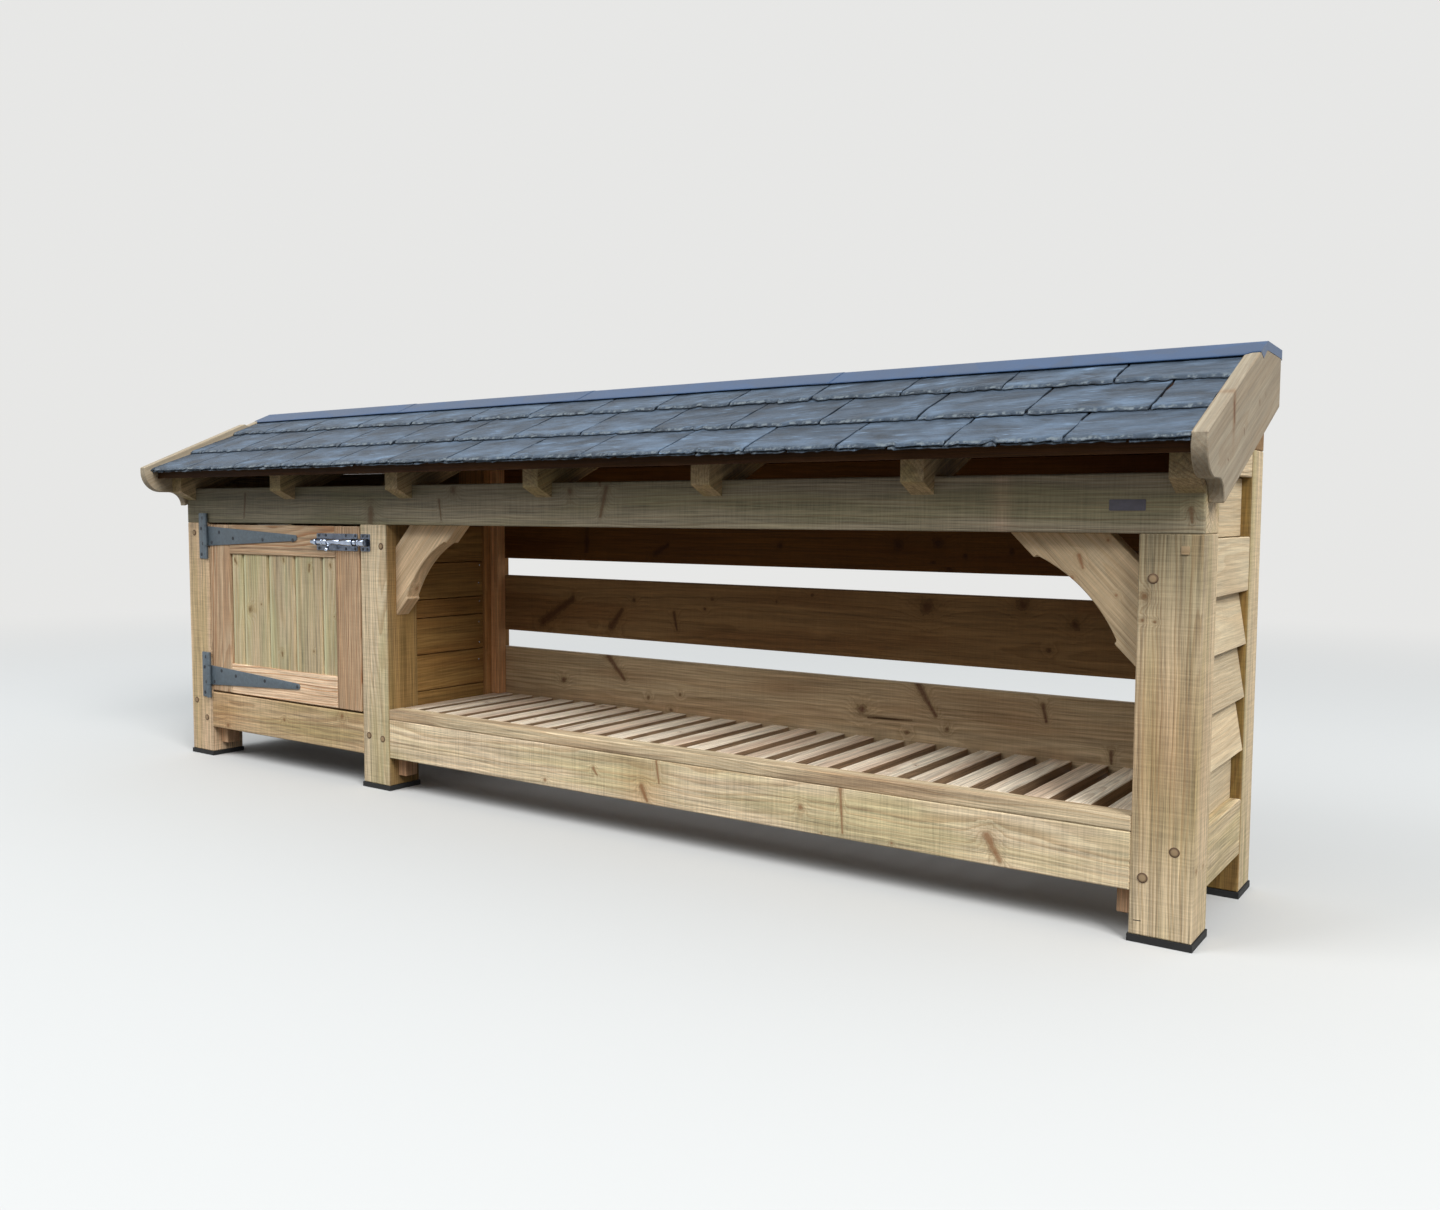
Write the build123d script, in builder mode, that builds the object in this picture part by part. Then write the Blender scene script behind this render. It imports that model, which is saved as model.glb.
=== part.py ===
"""A timber log store with a slate roof, an open log bay and a small cupboard with a hinged door.

Millimetres. X runs along the front, -Y is the front, +Z is up.
The origin is under the middle of the whole store.
"""

from build123d import *
import os
from math import cos, radians, tan

os.makedirs("parts", exist_ok=True)

# Overall sizes of the frame
length = 2800.0
depth = 430.0
pad_thickness = 12.0
pad_margin = 2.0
post_width = 100.0
front_post_depth = 96.0
rear_post_depth = 92.0
beam_underside = 672.0
beam_height = 98.0
cupboard_width = 667.0
arris = 1.5

# Roof
pitch = 23.6
rear_pitch = 1.0
ridge_setback = 130.0
roof_line_at_front = 872.0
slate_front_overhang = 110.0
slate_build_up = 12.0
slate_step = 6.0
slate_courses = [-110.0, 15.0, 152.0]
deck_thickness = 22.0
deck_overhang = 88.0

# Rafters
rafter_count = 7
rafter_thickness = 45.0
rafter_overhang = 45.0
tail_nose_height = 56.0
tail_heel = 33.0
rafter_rear_setback = 14.0

# Bargeboards
barge_thickness = 25.0
barge_depth = 145.0
barge_overhang = 104.0
barge_nose = 13.0
barge_round = 55.0
barge_fillet = 27.0
barge_cove = 38.0
barge_rear_setback = 5.0
left_barge_advance = 22.0
left_barge_dressing = 95.0
left_barge_ramp = 10.0

# Ridge flashing
flashing_thickness = 2.0
flashing_front = 64.0
flashing_over_barge = 54.0
flashing_fold = 16.0
flashing_ear = 21.0
flashing_ear_width = 26.0

# Base
rail_height = 102.0
front_rail_thickness = 28.0
rail_thickness = 45.0
ground_gap = 84.0
bay_rail_height = 98.0
nosing_height = 26.0
nosing_depth = 45.0
ledger = 38.0
cleat_width = 28.0
cleat_bottom = 36.0
slat_width = 45.0
slat_side_gap = 7.5
slat_count = 25
cupboard_floor_thickness = 20.0

# Boarding
cladding_thickness = 16.0
cladding_clearance = 0.5
cladding_height = 97.0
louvre_count = 3
louvre_lap = 14.0
beam_board_drop = 8.0
side_rail_height = 102.0
board_gap = 2.0
back_board_thickness = 20.0
back_board_height = 150.0
back_board_gap = 46.5
back_board_drop = 22.0
back_board_setback = 50.0
cupboard_back_boards = 6
corner_batten_width = 28.0
corner_batten_depth = 31.0
partition_inset = 9.0
partition_foot_height = 58.0
partition_board_height = 95.0
partition_narrow_height = 48.0

# Curved braces
brace_width = 122.0
brace_thickness = 40.0
brace_setback = 28.0
brace_leg = 228.0
brace_end = 62.0
brace_scoop = 24.0
brace_step = 6.0

# Door
door_gap = 5.0
door_latch_gap = 6.0
door_thickness = 32.0
stile_width = 95.5
top_rail_width = 82.0
bottom_rail_width = 84.0
panel_thickness = 12.0
panel_setback = 12.0
panel_boards = 5
panel_first_share = 0.0946
panel_board_share = 0.2488
panel_groove = 2.0

# Tee hinges
hinge_axis_inset = 2.0
hinge_plate = 3.0
knuckle_radius = 6.5
knuckle_standoff = 7.0
hinge_pin_radius = 3.0
hinge_pin_clearance = 0.3
knuckle_gap = 1.0
leaf_width = 30.0
leaf_clearance = 2.0
leaf_height = 130.0
strap_to_bolt_gap = 84.0
strap_root = 56.0
strap_tip = 16.0
hinge_centres = [235.0, 634.0]

# Tower bolt
bolt_height = 626.0
bolt_radius = 6.5
bolt_clearance = 0.5
bolt_wall = 3.0
bolt_standoff = 11.0
bolt_plate_length = 164.0
bolt_plate_height = 44.0
bolt_plate_thickness = 2.5
bolt_plate_edge_gap = 3.0
bolt_guide_width = 10.0
bolt_guide_setback = 4.0
bolt_housing_length = 92.0
bolt_length = 206.0
bolt_tip_gap = 3.0
bolt_tip_chamfer = 1.5
knob_radius = 4.0
knob_ball_radius = 5.5
knob_length = 22.0
knob_from_tip = 140.0
keep_width = 36.0
keep_loop_width = 26.0
keep_clearance = 1.5

# Places worked out from the sizes
ridge_depth = depth - ridge_setback
left = -length / 2
right = length / 2
front_reach = max(slate_front_overhang, barge_overhang + left_barge_advance)
front = front_reach - (front_reach + depth) / 2
rear = front + depth
slope = tan(radians(pitch))
rear_slope = tan(radians(rear_pitch))
foot = pad_thickness
beam_top = beam_underside + beam_height
post_back = front + front_post_depth
rear_post_front = rear - rear_post_depth
middle_left = left + post_width + cupboard_width
middle_right = middle_left + post_width
bay_right = right - post_width
cupboard_left = left + post_width
rail_top = ground_gap + rail_height
bay_rail_top = ground_gap + bay_rail_height
floor_top = bay_rail_top + nosing_height
slat_pitch = (bay_right - middle_right - 2 * slat_side_gap - slat_width) / (slat_count - 1)
back_board_front = rear_post_front + back_board_setback
CORNER = (Align.MIN, Align.MIN, Align.MIN)


def roof_line(y, below=0.0):
    """Height of the roof's upper line at a distance behind the posts' faces, less a build-up square to it."""
    return roof_line_at_front + y * slope - below / cos(radians(pitch))


def rear_line(y, below=0.0):
    """Height of the flat behind the ridge at a distance behind the posts' faces."""
    return roof_line(ridge_depth, below) - (y - ridge_depth) * rear_slope


def write(name, *pieces):
    """Writes one sub-part, made of the given pieces, to its own file."""
    with BuildPart() as whole:
        for piece in pieces:
            add(piece)
    whole.part.label = name
    export_step(whole.part, f"parts/{name}.step")


def timber(x, y, z, width, run, height):
    """A squared timber placed by its lowest corner, with its arrises eased."""
    with BuildPart() as piece:
        with Locations((x, y, z)):
            Box(width, run, height, align=CORNER)
        chamfer(piece.edges(), length=arris)
    return piece.part


def sheet(plane, outline, thickness):
    """A board or sheet with square edges, cut to an outline of straight lines on the given plane."""
    with BuildPart() as piece:
        with BuildSketch(plane):
            with BuildLine():
                Polyline(*outline, close=True)
            make_face()
        extrude(amount=thickness)
    return piece.part


def eased(piece):
    """The same piece with its arrises eased."""
    return chamfer(piece.edges(), length=arris)


# Posts and their pads
post_places = {"left": left, "middle": middle_left, "right": bay_right}
rafter_underside = slate_build_up + deck_thickness
rear_seat = beam_top + (rear_post_front - front) * slope
rear_beam_bottom = rear_seat - beam_height

for side, x in post_places.items():
    write(
        f"front_post_{side}",
        timber(x, front, foot, post_width, front_post_depth, beam_underside - foot),
    )

for side, x in post_places.items():
    write(
        f"rear_post_{side}",
        timber(x, rear_post_front, foot, post_width, rear_post_depth, rear_beam_bottom - foot),
    )

with BuildPart() as post_pads:
    for x in post_places.values():
        with Locations((x - pad_margin, front - pad_margin, 0)):
            Box(post_width + 2 * pad_margin, front_post_depth + 2 * pad_margin, foot, align=CORNER)
    for x in post_places.values():
        with Locations((x - pad_margin, rear_post_front - pad_margin, 0)):
            Box(post_width + 2 * pad_margin, rear_post_depth + 2 * pad_margin, foot, align=CORNER)
write("post_pads", post_pads.part)

# Beams along the front and the back
write("front_beam", timber(left, front, beam_underside, length, front_post_depth, beam_height))
write("rear_beam", timber(left, rear_post_front, rear_beam_bottom, length, rear_post_depth, beam_height))

# Rails round the base, and the nosing on the bay's rail
bay_width = bay_right - middle_right
between_posts = rear_post_front - post_back
write(
    "cupboard_front_rail",
    timber(cupboard_left, front, ground_gap, cupboard_width, front_rail_thickness, rail_height),
)
write(
    "bay_front_rail",
    timber(middle_right, front, ground_gap, bay_width, front_rail_thickness, bay_rail_height),
)
write("bay_nosing", timber(middle_right, front, bay_rail_top, bay_width, nosing_depth, nosing_height))
write(
    "rear_rails",
    *[
        timber(low, rear_post_front, ground_gap, high - low, rail_thickness, bay_rail_top - ground_gap)
        for low, high in ((cupboard_left, middle_left), (middle_right, bay_right))
    ],
)
write(
    "side_rails",
    *[
        timber(x, post_back, ground_gap, rail_thickness, between_posts, side_rail_height)
        for x in (left, right - rail_thickness)
    ],
)

# Ledgers behind the front rails, on cleats fixed to the posts
ledger_front = front + front_rail_thickness
ledger_bottom = bay_rail_top - ledger
write(
    "floor_ledgers",
    timber(cupboard_left, ledger_front, ledger_bottom, cupboard_width, ledger, ledger),
    timber(middle_right, ledger_front, ledger_bottom, bay_width, ledger, ledger),
)
write(
    "ledger_cleats",
    *[
        timber(x, ledger_front, cleat_bottom, cleat_width, ledger, ledger_bottom - cleat_bottom)
        for x in (cupboard_left, middle_right, bay_right - cleat_width)
    ],
)

# Floors: slats from front to back in the bay, a sheet in the cupboard
floor_front = front + nosing_depth
slat_length = back_board_front - floor_front
write(
    "floor_slats",
    *[
        timber(
            middle_right + slat_side_gap + i * slat_pitch,
            floor_front,
            bay_rail_top,
            slat_width,
            slat_length,
            nosing_height,
        )
        for i in range(slat_count)
    ],
)

with BuildPart() as cupboard_floor:
    with Locations((cupboard_left, floor_front, bay_rail_top)):
        Box(cupboard_width, back_board_front - floor_front, cupboard_floor_thickness, align=CORNER)
write("cupboard_floor", cupboard_floor.part)

# Back boards of the bay, and of the cupboard
back_board_bottom = floor_top - back_board_drop
for i, level in enumerate(("lower", "middle", "upper")):
    write(
        f"back_board_{level}",
        timber(
            middle_right,
            back_board_front,
            back_board_bottom + i * (back_board_height + back_board_gap),
            bay_right - middle_right,
            back_board_thickness,
            back_board_height,
        ),
    )
top_board_bottom = back_board_bottom + 3 * (back_board_height + back_board_gap)
write(
    "back_board_top",
    timber(
        middle_right,
        back_board_front,
        top_board_bottom,
        bay_right - middle_right,
        back_board_thickness,
        rear_beam_bottom - top_board_bottom,
    ),
)

# Batten in the bay's corner, standing on the slats in front of the back boards
write(
    "corner_batten",
    timber(
        middle_right,
        back_board_front - corner_batten_depth,
        floor_top,
        corner_batten_width,
        corner_batten_depth,
        rear_beam_bottom - floor_top,
    ),
)

cupboard_back_pitch = (rear_beam_bottom - back_board_bottom) / cupboard_back_boards
write(
    "cupboard_back_boards",
    *[
        timber(
            cupboard_left,
            back_board_front,
            back_board_bottom + i * cupboard_back_pitch,
            middle_left - cupboard_left,
            back_board_thickness,
            cupboard_back_pitch - board_gap,
        )
        for i in range(cupboard_back_boards)
    ],
)

# Partition between the cupboard and the bay
pair = [partition_board_height, partition_board_height]
partition_boards = [partition_foot_height, *pair, partition_narrow_height, *pair]
partition_left = middle_right - partition_inset - cladding_thickness
write(
    "partition_boards",
    *[
        timber(
            partition_left,
            post_back,
            bay_rail_top + sum(partition_boards[:i]),
            cladding_thickness,
            between_posts,
            height - board_gap,
        )
        for i, height in enumerate(partition_boards)
    ],
)

# Boards between the posts of each end, from the beam down: recessed, flush, louvres, recessed
side_rail_top = ground_gap + side_rail_height
louvre_rise = cladding_height
louvre_set_in = cladding_thickness + cladding_clearance
louvre_top_set_in = louvre_set_in * (louvre_rise + louvre_lap) / louvre_rise
beam_board_bottom = beam_underside - beam_board_drop
flush_board_bottom = beam_board_bottom - cladding_height
louvre_bottoms = [flush_board_bottom - (i + 1) * louvre_rise for i in range(louvre_count)]
foot_board_top = louvre_bottoms[-1] + louvre_lap


def end_boards(face, inward):
    """The boards of one end: face is the X of its outer plane, inward is +1 or -1 towards the middle."""
    outlines = [
        box_outline(face, inward, louvre_set_in, beam_board_bottom, beam_top - board_gap),
        box_outline(face, inward, 0.0, flush_board_bottom, beam_board_bottom - cladding_clearance),
        box_outline(face, inward, louvre_top_set_in, side_rail_top, foot_board_top),
    ]
    for bottom in louvre_bottoms:
        top = bottom + louvre_rise + louvre_lap
        outlines.append(
            [
                (face, bottom),
                (face + inward * cladding_thickness, bottom),
                (face + inward * (louvre_top_set_in + cladding_thickness), top),
                (face + inward * louvre_top_set_in, top),
            ]
        )
    section = Plane.XZ.offset(-rear_post_front)
    return [eased(sheet(section, outline, between_posts)) for outline in outlines]


def box_outline(face, inward, set_in, bottom, top):
    """Section of a plain upright board, set in from the end's outer plane."""
    outer = face + inward * set_in
    inner = outer + inward * cladding_thickness
    return [(outer, bottom), (inner, bottom), (inner, top), (outer, top)]


write("end_boards_left", *end_boards(left, 1))
write("end_boards_right", *end_boards(right, -1))


# Gable boards over the end boards, cut to the slope under the end rafters
def under_rafter(y):
    """Height of a rafter's lower edge at a distance behind the posts' faces."""
    return beam_top - tail_heel + y * slope


gable_top = rear_beam_bottom + beam_height / 2
gable_turn = (gable_top - under_rafter(0)) / slope
gable_outline = [
    (post_back, beam_top),
    (rear_post_front, beam_top),
    (rear_post_front, gable_top),
    (front + gable_turn, gable_top),
    (post_back, under_rafter(front_post_depth)),
]
for side, x in (("left", left), ("right", right - cladding_thickness)):
    write(f"gable_board_{side}", eased(sheet(Plane.YZ.offset(x), gable_outline, cladding_thickness)))


# Curved braces in the upper corners of the bay
def brace(corner, inward):
    """One brace in the corner of a post and the beam; inward is +1 or -1 from the post into the bay."""
    diagonal = brace_width * 2**0.5
    end = brace_end / 2**0.5
    step = brace_step / 2**0.5
    scoop = brace_scoop / 2**0.5
    foot_of_scoop = (corner + inward * end, beam_underside - brace_leg + end)
    head_of_scoop = (corner + inward * (brace_leg - end), beam_underside - end)
    low = (foot_of_scoop[0] - inward * step, foot_of_scoop[1] + step)
    high = (head_of_scoop[0] - inward * step, head_of_scoop[1] + step)
    deepest = (
        (foot_of_scoop[0] + head_of_scoop[0]) / 2 - inward * scoop,
        (foot_of_scoop[1] + head_of_scoop[1]) / 2 + scoop,
    )
    with BuildPart() as piece:
        with BuildSketch(Plane.XZ.offset(-(front + brace_setback + brace_thickness))):
            with BuildLine():
                Polyline(
                    high,
                    head_of_scoop,
                    (corner + inward * brace_leg, beam_underside),
                    (corner + inward * (brace_leg - diagonal), beam_underside),
                    (corner, beam_underside - brace_leg + diagonal),
                    (corner, beam_underside - brace_leg),
                    foot_of_scoop,
                    low,
                )
                ThreePointArc(low, deepest, high)
            make_face()
        extrude(amount=brace_thickness)
    return piece.part


write("brace_left", eased(brace(middle_right, 1)))
write("brace_right", eased(brace(bay_right, -1)))

# Rafters with shaped tails, notched over both beams
rafter_pitch = (length - rafter_thickness) / (rafter_count - 1)
tail_top = roof_line(-rafter_overhang, rafter_underside)
rafter_end = depth - rafter_rear_setback
rafter_outline = [
    (front - rafter_overhang, tail_top),
    (front - rafter_overhang, tail_top - tail_nose_height),
    (front, beam_top - tail_heel),
    (front, beam_top),
    (front + tail_heel / slope, beam_top),
    (rear_post_front, under_rafter(depth - rear_post_depth)),
    (rear_post_front, rear_seat),
    (rear_post_front + tail_heel / slope, rear_seat),
    (front + rafter_end, under_rafter(rafter_end)),
    (front + rafter_end, rear_line(rafter_end, rafter_underside)),
    (front + ridge_depth, roof_line(ridge_depth, rafter_underside)),
]
write(
    "rafters",
    *[
        sheet(Plane.YZ.offset(left + i * rafter_pitch), rafter_outline, rafter_thickness)
        for i in range(rafter_count)
    ],
)

# Roof boards: the long front slope and the flat behind the ridge
roof_section = Plane.YZ.offset(left)
deck_outline = [
    (front - deck_overhang, roof_line(-deck_overhang, rafter_underside)),
    (front + ridge_depth, roof_line(ridge_depth, rafter_underside)),
    (front + ridge_depth, roof_line(ridge_depth, slate_build_up)),
    (front - deck_overhang, roof_line(-deck_overhang, slate_build_up)),
]
write("roof_deck", sheet(roof_section, deck_outline, length))

rear_board_outline = [
    (front + ridge_depth, rear_line(ridge_depth, rafter_underside)),
    (rear, rear_line(depth, rafter_underside)),
    (rear, rear_line(depth)),
    (front + ridge_depth, rear_line(ridge_depth)),
]
write("rear_roof_board", sheet(roof_section, rear_board_outline, length))

# Slates in stepped courses on the front slope
slate_outline = [(front - slate_front_overhang, roof_line(-slate_front_overhang, slate_build_up))]
for start, end in zip(slate_courses, slate_courses[1:] + [ridge_depth]):
    slate_outline.append((front + start, roof_line(start)))
    slate_outline.append((front + end, roof_line(end, slate_step)))
slate_outline.append((front + ridge_depth, roof_line(ridge_depth, slate_build_up)))
write("slates", sheet(roof_section, slate_outline, length))

# Bargeboards with a rounded nose and a cove in front of the beam's end
nose_top = roof_line(-barge_overhang)
round_top = nose_top - barge_nose
fillet_level = round_top - barge_round
tip_level = fillet_level - barge_cove
barge_rear = depth - barge_rear_setback


def bargeboard(x, advance):
    """One bargeboard from x outwards. Set forward by advance, it stands above the slates by its slope."""
    nose = front - barge_overhang - advance
    round_end = nose + barge_round
    cove_start = round_end + barge_fillet
    tip = cove_start + barge_cove
    top = [(front + barge_rear, rear_line(barge_rear)), (front + ridge_depth, roof_line(ridge_depth))]
    if advance:
        dressed = ridge_depth - left_barge_dressing
        proud = dressed - left_barge_ramp
        top += [(front + dressed, roof_line(dressed)), (front + proud, roof_line(proud + advance))]
    with BuildPart() as board:
        with BuildSketch(Plane.YZ.offset(x)):
            with BuildLine():
                Polyline(
                    (tip, tip_level),
                    (front + barge_rear, roof_line(barge_rear + advance, barge_depth)),
                    *top,
                    (nose, nose_top),
                    (nose, round_top),
                )
                RadiusArc((nose, round_top), (round_end, fillet_level), -barge_round)
                Line((round_end, fillet_level), (cove_start, fillet_level))
                RadiusArc((cove_start, fillet_level), (tip, tip_level), barge_cove)
            make_face()
        extrude(amount=barge_thickness)
    return board.part


write("bargeboard_left", eased(bargeboard(left - barge_thickness, left_barge_advance)))
write("bargeboard_right", eased(bargeboard(right, 0.0)))

# Ridge flashing: a sheet folded over the top of the slates and the flat behind them, and down each end
cap_left = left - barge_thickness - flashing_thickness
cap_right = right + barge_thickness + flashing_thickness


def ridge_sheet(front_run, x, run):
    """The sheet over the ridge, its front edge front_run before it, from x along run."""
    start = ridge_depth - front_run
    outline = [
        (front + start, roof_line(start)),
        (front + ridge_depth, roof_line(ridge_depth)),
        (rear, rear_line(depth)),
        (rear, rear_line(depth) + flashing_thickness),
        (front + ridge_depth, roof_line(ridge_depth) + flashing_thickness),
        (front + start, roof_line(start) + flashing_thickness),
    ]
    return sheet(Plane.YZ.offset(x), outline, run)


def ridge_end(x):
    """The end folded down a bargeboard's face, with a pointed ear in front."""
    start = ridge_depth - flashing_over_barge
    ear = start + flashing_ear_width
    outline = [
        (front + start, roof_line(start) + flashing_thickness),
        (front + ear, roof_line(ear) - flashing_ear),
        (front + ridge_depth, roof_line(ridge_depth) - flashing_fold),
        (rear, rear_line(depth) - flashing_fold),
        (rear, rear_line(depth) + flashing_thickness),
        (front + ridge_depth, roof_line(ridge_depth) + flashing_thickness),
    ]
    return sheet(Plane.YZ.offset(x), outline, flashing_thickness)


write(
    "ridge_flashing",
    ridge_sheet(flashing_front, left, length),
    ridge_sheet(flashing_over_barge, cap_left, cap_right - cap_left),
    ridge_end(cap_left),
    ridge_end(cap_right - flashing_thickness),
)

# Door, framed and boarded, shutting flush with the posts
door_left = cupboard_left + door_gap
door_right = middle_left - door_latch_gap
door_bottom = rail_top + door_gap
door_top = beam_underside - door_gap
panel_left = door_left + stile_width
panel_right = door_right - stile_width
panel_bottom = door_bottom + bottom_rail_width
panel_top = door_top - top_rail_width

for side, x in (("hinge", door_left), ("latch", panel_right)):
    write(
        f"door_stile_{side}",
        timber(x, front, door_bottom, stile_width, door_thickness, door_top - door_bottom),
    )

for level, z, width in (("top", panel_top, top_rail_width), ("bottom", door_bottom, bottom_rail_width)):
    write(f"door_rail_{level}", timber(panel_left, front, z, panel_right - panel_left, door_thickness, width))

panel_width = panel_right - panel_left
with BuildPart() as door_panel:
    with Locations((panel_left, front + panel_setback, panel_bottom)):
        Box(panel_width, panel_thickness, panel_top - panel_bottom, align=CORNER)
    for i in range(panel_boards - 1):
        groove_x = panel_left + panel_width * (panel_first_share + i * panel_board_share)
        with BuildSketch(Plane.XY.offset(panel_bottom)):
            with Locations((groove_x, front + panel_setback)):
                Rectangle(panel_groove * 2**0.5, panel_groove * 2**0.5, rotation=45)
        extrude(amount=panel_top - panel_bottom, mode=Mode.SUBTRACT)
write("door_panel", door_panel.part)

# Tee hinges: a tall leaf on the post, a tapered strap on the door, turning on one upright axis
hinge_x = cupboard_left - hinge_axis_inset
hinge_y = front - knuckle_standoff
plate_right = door_right - bolt_plate_edge_gap
plate_left = plate_right - bolt_plate_length
strap_reach = plate_left - strap_to_bolt_gap - hinge_x
for level, centre in zip(("lower", "upper"), hinge_centres):
    strap_low = centre - strap_root / 2
    strap_high = centre + strap_root / 2
    leaf_low = centre - leaf_height / 2
    leaf_high = centre + leaf_height / 2
    notch_low = strap_low - knuckle_gap
    notch_high = strap_high + knuckle_gap
    notch_x = hinge_x - knuckle_radius - leaf_clearance
    with BuildPart() as leaf:
        with Locations((notch_x - leaf_width, front - hinge_plate, leaf_low)):
            Box(leaf_width, hinge_plate, leaf_height, align=CORNER)
        for low, high in ((leaf_low, notch_low), (notch_high, leaf_high)):
            with Locations((notch_x, front - hinge_plate, low)):
                Box(hinge_x - notch_x, hinge_plate, high - low, align=CORNER)
            with Locations((hinge_x, hinge_y, low)):
                Cylinder(knuckle_radius, high - low, align=(Align.CENTER, Align.CENTER, Align.MIN))
        with Locations((hinge_x, hinge_y, leaf_low)):
            Cylinder(hinge_pin_radius, leaf_height, align=(Align.CENTER, Align.CENTER, Align.MIN))
    write(f"{level}_hinge_leaf", leaf.part)

    with BuildPart() as strap:
        with BuildSketch(Plane.XZ.offset(-front)):
            with BuildLine():
                Polyline(
                    (hinge_x, strap_high),
                    (hinge_x, strap_low),
                    (hinge_x + strap_reach - strap_tip / 2, centre - strap_tip / 2),
                )
                ThreePointArc(
                    (hinge_x + strap_reach - strap_tip / 2, centre - strap_tip / 2),
                    (hinge_x + strap_reach, centre),
                    (hinge_x + strap_reach - strap_tip / 2, centre + strap_tip / 2),
                )
                Line((hinge_x + strap_reach - strap_tip / 2, centre + strap_tip / 2), (hinge_x, strap_high))
            make_face()
        extrude(amount=hinge_plate)
        with Locations((hinge_x, hinge_y, strap_low)):
            Cylinder(knuckle_radius, strap_root, align=(Align.CENTER, Align.CENTER, Align.MIN))
            Cylinder(
                hinge_pin_radius + hinge_pin_clearance,
                strap_root,
                align=(Align.CENTER, Align.CENTER, Align.MIN),
                mode=Mode.SUBTRACT,
            )
    write(f"{level}_hinge_strap", strap.part)

# Tower bolt, shown drawn back: plate with a guide and a long housing, sliding bar, keep on the middle post
bolt_y = front - bolt_standoff


def bolt_loop(x, width, clearance):
    """A bridge that stands on the mounting face and is bored for the sliding bar."""
    loop_radius = bolt_radius + clearance + bolt_wall
    with BuildPart() as loop:
        with BuildSketch(Plane.YZ.offset(x)):
            with BuildLine():
                Polyline(
                    (bolt_y, bolt_height - loop_radius),
                    (front, bolt_height - loop_radius),
                    (front, bolt_height + loop_radius),
                    (bolt_y, bolt_height + loop_radius),
                )
                ThreePointArc(
                    (bolt_y, bolt_height + loop_radius),
                    (bolt_y - loop_radius, bolt_height),
                    (bolt_y, bolt_height - loop_radius),
                )
            make_face()
            with Locations((bolt_y, bolt_height)):
                Circle(bolt_radius + clearance, mode=Mode.SUBTRACT)
        extrude(amount=width)
    return loop.part


def bolt_plate(x, width):
    """A flat plate behind the bar, on the mounting face."""
    with BuildPart() as plate:
        with Locations((x, front - bolt_plate_thickness, bolt_height - bolt_plate_height / 2)):
            Box(width, bolt_plate_thickness, bolt_plate_height, align=CORNER)
    return plate.part


write(
    "bolt_guide",
    bolt_plate(plate_left, bolt_plate_length),
    bolt_loop(plate_left + bolt_guide_setback, bolt_guide_width, bolt_clearance),
    bolt_loop(plate_right - bolt_housing_length, bolt_housing_length, bolt_clearance),
)

bolt_tip = middle_left - bolt_tip_gap
knob_direction = Vector(0, -1, -1).normalized()
with BuildPart() as bolt_bar:
    with BuildSketch(Plane.YZ.offset(bolt_tip - bolt_length)):
        with Locations((bolt_y, bolt_height)):
            Circle(bolt_radius)
    extrude(amount=bolt_length)
    chamfer(bolt_bar.edges().filter_by(GeomType.CIRCLE), length=bolt_tip_chamfer)
    knob_foot = Vector(bolt_tip - knob_from_tip, bolt_y, bolt_height)
    with BuildSketch(Plane(origin=knob_foot, z_dir=knob_direction)):
        Circle(knob_radius)
    extrude(amount=knob_length)
    with Locations(knob_foot + knob_direction * knob_length):
        Sphere(knob_ball_radius)
write("bolt_bar", bolt_bar.part)

keep_left = middle_left + bolt_plate_edge_gap
write(
    "bolt_keep",
    bolt_plate(keep_left, keep_width),
    bolt_loop(keep_left + (keep_width - keep_loop_width) / 2, keep_loop_width, keep_clearance),
)
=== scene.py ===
"""The looks of a timber log store: grained softwood, riven slates, folded flashing, steel fittings.

Metres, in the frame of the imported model. X runs along the front, -Y is the front, +Z is up.
"""

import math
import random

import bmesh
import bpy
from mathutils import Euler, Matrix, Vector, noise


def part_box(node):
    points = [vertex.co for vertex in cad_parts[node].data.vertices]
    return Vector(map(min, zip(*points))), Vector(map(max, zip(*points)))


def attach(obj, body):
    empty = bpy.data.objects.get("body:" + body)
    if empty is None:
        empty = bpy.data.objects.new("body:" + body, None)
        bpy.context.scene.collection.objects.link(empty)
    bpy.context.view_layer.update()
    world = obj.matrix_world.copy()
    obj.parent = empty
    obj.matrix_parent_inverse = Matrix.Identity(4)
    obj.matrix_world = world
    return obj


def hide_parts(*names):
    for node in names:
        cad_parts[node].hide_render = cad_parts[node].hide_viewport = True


bl_info = {
    "name": "Slated log store",
    "version": (1, 0, 0),
    "blender": (4, 5, 0),
    "location": "View3D > Sidebar > Log store",
    "description": "Dresses a timber log store with grain, slates, flashing, hinges, bolt and fixings",
    "category": "Add Mesh",
}

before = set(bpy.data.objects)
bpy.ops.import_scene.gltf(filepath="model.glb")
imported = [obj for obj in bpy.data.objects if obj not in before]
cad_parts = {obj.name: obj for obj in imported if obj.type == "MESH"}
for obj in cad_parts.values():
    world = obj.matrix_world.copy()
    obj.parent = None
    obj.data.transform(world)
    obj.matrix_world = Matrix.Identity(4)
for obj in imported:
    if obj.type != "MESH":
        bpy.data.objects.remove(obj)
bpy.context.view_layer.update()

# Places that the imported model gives
POST_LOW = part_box("front_post_left")[0]
FRONT = POST_LOW.y
FOOT = POST_LOW.z
LEFT = POST_LOW.x
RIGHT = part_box("front_post_right")[1].x
MM = 0.001

# The roof's shape, in millimetres from the posts' front faces and feet
ROOF_PITCH = math.atan(0.43689)
ROOF_LINE = 860.0
RIDGE = 300.0
REAR_SLOPE = math.tan(math.radians(1.0))


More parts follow.
